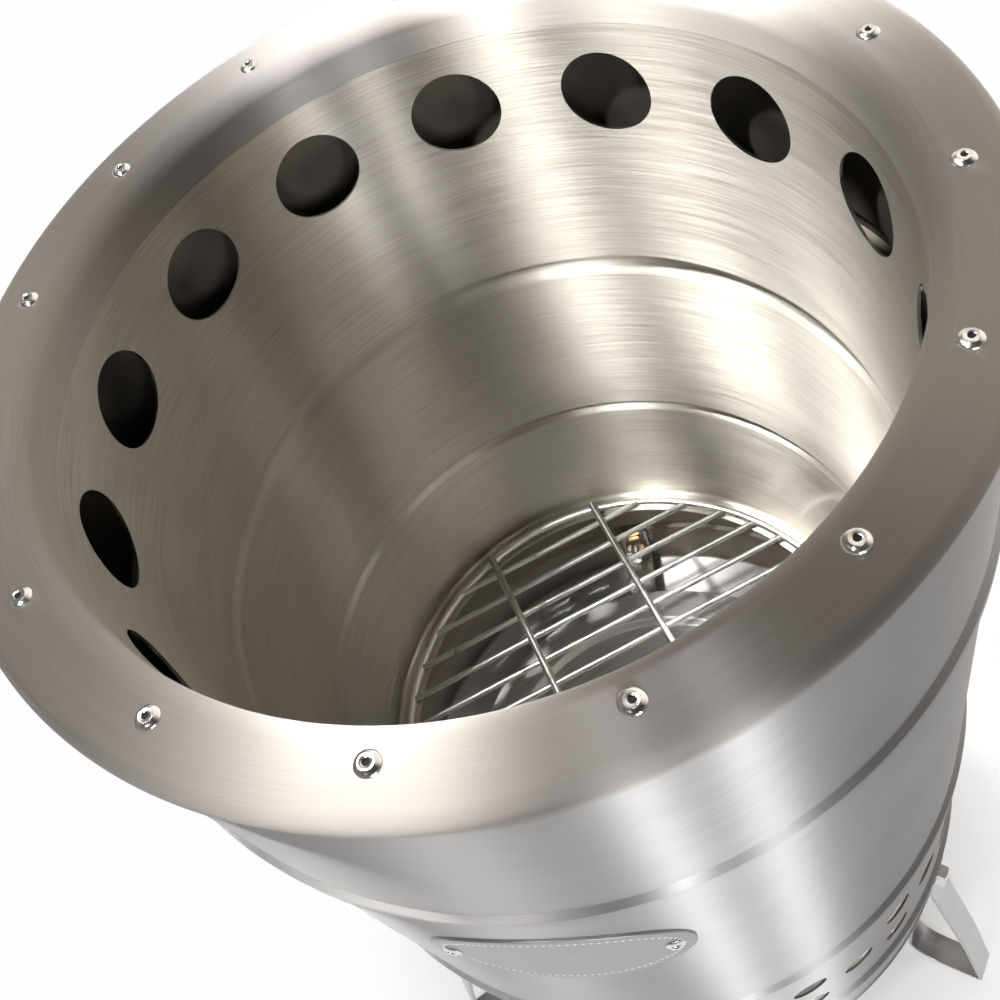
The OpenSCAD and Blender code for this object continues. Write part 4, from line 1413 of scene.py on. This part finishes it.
def ash_plate_cuts(g, feet):
    """The slots, the notch and the small hole of the ash plate, as one solid piece."""
    half_l, half_w = g.slot_len / 2, g.slot_w / 2
    slot = [(-half_l, -half_w), (half_l, -half_w), (half_l, half_w), (-half_l, half_w)]
    slot_r = g.plate_r - g.plate_rim / 2 - g.slot_in
    ways = [(cos(a), sin(a)) for a in np.linspace(0, 2 * pi, MARK_SIDES + 1)[:-1]]
    step = 2 * pi / feet.foot_count
    parts = []
    for outline, turned, out, count, first in (
        (slot, g.slot_turn, slot_r, feet.foot_count, feet.foot_az + g.slot_az),
        ([(g.notch_r * x, g.notch_r * y) for x, y in ways], 0.0, g.plate_r, 1, g.mark_az),
        ([(g.mark_r * x, g.mark_r * y) for x, y in ways], 0.0, g.plate_r - g.mark_in, 1, g.mark_az),
    ):
        source = prism("source", outline, 4 * g.plate_t)
        moved(source, Matrix.Rotation(turned, 4, "Z"))
        moved(source, shift(out, 0, RIM_HEIGHT - g.plate_depth))
        parts.append(set_round("cut", source, count, first, step, make_finish("ash_steel")))
    return joined("cuts", parts)


class BARREL_OT_ash_plate(bpy.types.Operator):
    """Builds the dished ash plate with its slots, notch and hole"""

    bl_idname = "barrel.ash_plate"
    bl_label = "Ash Plate"

    def execute(self, context):
        g, feet = context.scene.barrel_grate, context.scene.barrel_feet
        top = -g.plate_depth
        flat_r = g.plate_r - g.plate_rim
        dish_r = flat_r - g.dish
        upper = rounded(
            [(0, top - g.dish), (dish_r, top - g.dish), (flat_r, top), (g.plate_r, top)],
            [g.plate_bend, g.plate_bend],
        )
        lower = [(g.plate_r, top - g.plate_t), (flat_r, top - g.plate_t),
                 (dish_r, top - g.dish - g.plate_t), (0, top - g.dish - g.plate_t)]
        piece, _ = revolve("dished_ash_plate", upper + lower, SMALL_COLUMNS, closed=False)
        cuts = ash_plate_cuts(g, feet)
        run_tree(piece, "Cut by a piece", {"Piece": cuts, "Material": make_finish("ash_steel")})
        bpy.data.objects.remove(cuts)
        smoothed(piece, SMOOTH_LIMIT)
        dress(piece, "ash_plate", ["ash_plate"], ["ash_steel"])
        return {"FINISHED"}


def bracket_face(s, f):
    """Distance of a bracket's flat outer face from the axis, where its edges clear the shell."""
    return sqrt((s.shell_r - s.sheet - f.strap_gap) ** 2 - (f.strap_w / 2) ** 2)


class BARREL_OT_straps(bpy.types.Operator):
    """Bends the feet and the brackets inside from strap"""

    bl_idname = "barrel.straps"
    bl_label = "Feet and Brackets"

    def execute(self, context):
        s, g, f = context.scene.barrel_sheet, context.scene.barrel_grate, context.scene.barrel_feet
        wall_r = s.shell_r + f.strap_gap + f.strap_t / 2
        floor_z = -RIM_HEIGHT + f.strap_t / 2
        tab_z = -s.shell_depth - f.strap_gap - f.strap_t / 2
        # The bends at the shell and at the knee are wider than the others
        foot = rounded(
            [(wall_r, -f.top_depth), (wall_r, -f.bend_depth), (f.knee_r, -f.knee_depth),
             (f.tip_r, floor_z), (f.inner_r, floor_z), (f.inner_r, tab_z), (f.inner_r - f.tab_len, tab_z)],
            [2 * f.strap_bend, 6 * f.strap_bend, f.tip_bend, f.inner_bend, f.strap_bend],
        )
        bracket_r = bracket_face(s, f) - f.strap_t / 2
        arm_z = -g.plate_depth - g.plate_t - g.seat_gap - f.strap_t / 2
        bracket = rounded(
            [(bracket_r, -f.bracket_top), (bracket_r, arm_z), (f.bracket_end, arm_z)], [f.strap_bend],
        )
        for label, node, path in (("bent_foot", "foot", foot), ("inner_bracket", "ash_bracket", bracket)):
            for i in range(f.foot_count):
                source = sweep_strap("source", path, f)
                piece = set_round(
                    f"{label}_{i + 1}", source, 1, f.foot_az + 2 * pi * i / f.foot_count, 0.0,
                    make_finish("strap_steel"),
                )
                dress(piece, "barrel", [f"{node}_{i + 1}"], ["strap_steel"])
        return {"FINISHED"}


class BARREL_OT_bolts(bpy.types.Operator):
    """Sets the hexagon bolts and their nuts"""

    bl_idname = "barrel.bolts"
    bl_label = "Bolts and Nuts"

    def execute(self, context):
        s, f, feet = context.scene.barrel_sheet, context.scene.barrel_fixings, context.scene.barrel_feet
        head_r = s.shell_r + 2 * feet.strap_gap + feet.strap_t
        nut_r = bracket_face(s, feet) - feet.strap_t - feet.strap_gap
        level = RIM_HEIGHT - f.bolt_depth
        step = 2 * pi / feet.foot_count
        bolt = joined("source", [
            hexagon("head", f.bolt_flats, f.bolt_head_h, 0.0), threaded_rod("rod", f),
        ])
        nut = hexagon("source_nut", f.bolt_flats, f.nut_h, f.bolt_d / 2 + FIT)
        for name, source, radius, slot, node in (
            ("hexagon_bolts", bolt, head_r, "bolt_steel", "foot_bolts"),
            ("hexagon_nuts", nut, nut_r - f.nut_h, "brass_nut", "foot_nuts"),
        ):
            moved(moved(source, FACE_OUT), shift(radius, 0, level))
            piece = set_round(name, source, feet.foot_count, feet.foot_az, step, make_finish(slot))
            dress(piece, "barrel", [node], [slot])
        return {"FINISHED"}


class BARREL_OT_name_plate(bpy.types.Operator):
    """Builds the blank oval plate with its dotted border"""

    bl_idname = "barrel.name_plate"
    bl_label = "Name Plate"

    def execute(self, context):
        s, p = context.scene.barrel_sheet, context.scene.barrel_plate
        low = s.shell_r + s.lap_gap
        high = low + p.thickness
        level = RIM_HEIGHT - p.depth
        piece = oval_plate("oval_plate", p.width, p.height, low, high, p.az, level)
        dress(piece, "barrel", ["name_plate"], ["plate_steel"])
        dots = run_tree(make_piece("plate_dots"), "Dots on an oval", {
            "Width": p.width - 2 * p.border_inset, "Height": p.height - 2 * p.border_inset,
            "Count": p.dot_count, "Dot": p.dot_d, "Thickness": p.dot_h, "Radius": high,
            "Level": level, "Turn": p.az, "Material": make_finish("plate_border"),
        })
        dress(dots, "barrel", [], ["plate_border"])
        return {"FINISHED"}


# Studio

CAMERA_PLACE = (0.10202, -0.26302, 0.9582)
CAMERA_TURN = (32.7852, 15.7258, 1.5722)
CAMERA_LENS = 40.395
WORLD_TONE = (1.0, 0.92, 0.83, 1)
# Strength of the sky overhead, and what the horizon and the backdrop behind the barrel add to it,
# each between two values of the height or the way looked at
WORLD_LIGHT = 0.05
HORIZON_LIGHT = 0.22
HORIZON_FROM = 0.75
HORIZON_TO = 0.35
BACKDROP_LIGHT = 1.15
BACKDROP_WAY = (0.44, 0.84, 0.32)
BACKDROP_FROM = 0.42
BACKDROP_TO = 0.90
# The floor's own glow where it is seen, and how far out from the axis it fades in: nearer the axis its glow
# is taken away as a painted shadow under the barrel
FLOOR_SIZE = 9
FLOOR_GLOW = 0.98
PAINTED_SHADOW_FROM = 0.10
PAINTED_SHADOW_TO = 0.32
# Soft boxes, with their place, size, power and tone
BOXES = (
    ("key", (-0.5, -0.8, 2.3), (0.12, 0.5), 9.0, (1.0, 0.99, 0.97)),
    ("front", (0.52, -1.83, 1.39), (0.10, 0.5), 11.0, (0.97, 0.98, 1.0)),
    ("right", (1.06, -1.58, 1.39), (0.13, 0.5), 11.0, (0.95, 0.97, 1.0)),
)
BOXES_FACE = (0.0, 0.0, 0.5)
# Soft spots into the drum, with their place, target, cone, radius, power and tone
SPOTS = (
    ("over", (-0.9, 0.13, 2.6), (0.11, 0.10, 0.50), 11.5, 0.20, 570.0, (1.0, 0.99, 0.97)),
    ("streak", (-0.5, -0.8, 2.3), (0.02, 0.154, 0.52), 11.5, 0.05, 175.0, (1.0, 1.0, 0.99)),
    ("back", (-0.8, 0.74, 2.55), (0.15, 0.08, 0.47), 11.5, 0.25, 530.0, (1.0, 0.99, 0.97)),
    ("down", (-0.2, 0.45, 2.7), (0.0, 0.0, 0.2), 6.5, 0.10, 150.0, (0.98, 0.99, 1.0)),
)
SPOT_BLEND = 0.4


def hang_lamp(scene, name, kind, place, target, settings):
    """Hangs a lamp that shines at a target, with its width level."""
    data = bpy.data.lights.new(name, kind)
    for key, value in settings.items():
        setattr(data, key, value)
    lamp = bpy.data.objects.new(name, data)
    lamp.location = place
    lamp.rotation_euler = (Vector(target) - Vector(place)).to_track_quat("-Z", "Y").to_euler()
    scene.collection.objects.link(lamp)


def sky(tree):
    """Dim warm surroundings, lighter towards the horizon and the back, and white for the camera."""
    tree.nodes.clear()
    way = add(tree, "ShaderNodeTexCoord").outputs["Generated"]
    height = add(tree, "ShaderNodeSeparateXYZ", {0: way}).outputs["Z"]
    back = add(tree, "ShaderNodeVectorMath", {0: way, 1: BACKDROP_WAY}, operation="DOT_PRODUCT")
    light = WORLD_LIGHT
    for value, start, end, gain in (
        (height, HORIZON_FROM, HORIZON_TO, HORIZON_LIGHT),
        (back.outputs["Value"], BACKDROP_FROM, BACKDROP_TO, BACKDROP_LIGHT),
    ):
        light = maths(tree, "ADD", smooth_step(tree, value, start, end, 0.0, gain), light)
    around = add(tree, "ShaderNodeBackground", {"Color": WORLD_TONE, "Strength": light})
    plain = add(tree, "ShaderNodeBackground", {"Color": (1, 1, 1, 1), "Strength": 1.0})
    path = add(tree, "ShaderNodeLightPath")
    mix = add(tree, "ShaderNodeMixShader", {
        "Fac": path.outputs["Is Camera Ray"], 1: around, 2: plain,
    })
    out = tree.nodes.new("ShaderNodeOutputWorld")
    tree.links.new(mix.outputs[0], out.inputs["Surface"])


def floor_material():
    """White floor for the camera and for reflections, which keeps the shadow, and whose glow is taken away
    round the axis as a painted shadow under the barrel.
    """
    material = bpy.data.materials.new("studio_floor")
    material.use_nodes = True
    tree = material.node_tree
    tree.nodes.clear()
    path = add(tree, "ShaderNodeLightPath")
    seen = maths(tree, "MAXIMUM", path.outputs["Is Camera Ray"], path.outputs["Is Glossy Ray"])
    seen = maths(tree, "MAXIMUM", seen, path.outputs["Is Transmission Ray"])
    paint = add(tree, "ShaderNodeBsdfDiffuse", {"Color": (0.86, 0.86, 0.86, 1)})
    glow = add(tree, "ShaderNodeEmission", {"Color": (1, 1, 1, 1), "Strength": 1.0})
    here = add(tree, "ShaderNodeTexCoord").outputs["Object"]
    away = add(tree, "ShaderNodeVectorMath", {0: here}, operation="LENGTH").outputs["Value"]
    # The glow fades out towards the axis, a painted shadow under the barrel
    clear = smooth_step(tree, away, PAINTED_SHADOW_FROM, PAINTED_SHADOW_TO, 0.0, FLOOR_GLOW)
    mix = add(tree, "ShaderNodeMixShader", {
        "Fac": maths(tree, "MULTIPLY", seen, clear), 1: paint, 2: glow,
    })
    out = tree.nodes.new("ShaderNodeOutputMaterial")
    tree.links.new(mix.outputs[0], out.inputs["Surface"])
    return material


class BARREL_OT_stage(bpy.types.Operator):
    """Makes the floor, the world, the lamps and the camera"""

    bl_idname = "barrel.stage"
    bl_label = "Studio"

    def execute(self, context):
        scene = context.scene
        half = FLOOR_SIZE / 2
        floor = make_piece(
            "studio_floor", [(-half, -half, 0), (half, -half, 0), (half, half, 0), (-half, half, 0)],
            [[0, 1, 2, 3]],
        )
        floor.data.materials.append(floor_material())
        world = scene.world or bpy.data.worlds.new("studio")
        scene.world = world
        world.use_nodes = True
        sky(world.node_tree)
        for name, place, (wide, tall), power, tone in BOXES:
            hang_lamp(scene, name, "AREA", place, BOXES_FACE, {
                "shape": "RECTANGLE", "size": wide, "size_y": tall, "energy": power, "color": tone,
            })
        for name, place, target, cone, radius, power, tone in SPOTS:
            hang_lamp(scene, name, "SPOT", place, target, {
                "spot_size": radians(cone), "spot_blend": SPOT_BLEND, "shadow_soft_size": radius,
                "energy": power, "color": tone,
            })
        data = bpy.data.cameras.new("camera")
        data.lens = CAMERA_LENS
        data.sensor_width = 36.0
        data.clip_start = 0.01
        camera = bpy.data.objects.new("camera", data)
        camera.location = CAMERA_PLACE
        camera.rotation_euler = [radians(a) for a in CAMERA_TURN]
        scene.collection.objects.link(camera)
        scene.camera = camera
        scene.view_settings.view_transform = "Standard"
        return {"FINISHED"}


OPERATORS = (
    BARREL_OT_rim, BARREL_OT_drum, BARREL_OT_shell, BARREL_OT_rivets, BARREL_OT_grate,
    BARREL_OT_ash_plate, BARREL_OT_straps, BARREL_OT_bolts, BARREL_OT_name_plate, BARREL_OT_stage,
)


class BARREL_PT_build(bpy.types.Panel):
    """Lists the barrel's pieces and sizes"""

    bl_idname = "BARREL_PT_build"
    bl_label = "Fire Barrel"
    bl_space_type = "VIEW_3D"
    bl_region_type = "UI"
    bl_category = "Barrel"

    def draw(self, context):
        column = self.layout.column(align=True)
        for operator in OPERATORS:
            column.operator(operator.bl_idname)
        for name, group in SIZE_GROUPS:
            box = self.layout.box()
            box.label(text=group.__doc__)
            settings = getattr(context.scene, name)
            for key in group.__annotations__:
                box.prop(settings, key)


def register():
    """Registers the settings, the operators and the panel."""
    for name, group in SIZE_GROUPS:
        bpy.utils.register_class(group)
        setattr(bpy.types.Scene, name, bpy.props.PointerProperty(type=group))
    for operator in OPERATORS:
        bpy.utils.register_class(operator)
    bpy.utils.register_class(BARREL_PT_build)


def unregister():
    """Takes the panel, the operators and the settings away."""
    bpy.utils.unregister_class(BARREL_PT_build)
    for operator in reversed(OPERATORS):
        bpy.utils.unregister_class(operator)
    for name, group in reversed(SIZE_GROUPS):
        delattr(bpy.types.Scene, name)
        bpy.utils.unregister_class(group)


def main():
    """Builds everything."""
    register()
    bpy.ops.barrel.rim()
    bpy.ops.barrel.drum()
    bpy.ops.barrel.shell()
    bpy.ops.barrel.rivets()
    bpy.ops.barrel.grate()
    bpy.ops.barrel.ash_plate()
    bpy.ops.barrel.straps()
    bpy.ops.barrel.bolts()
    bpy.ops.barrel.name_plate()
    bpy.ops.barrel.stage()


if __name__ == "__main__":
    main()
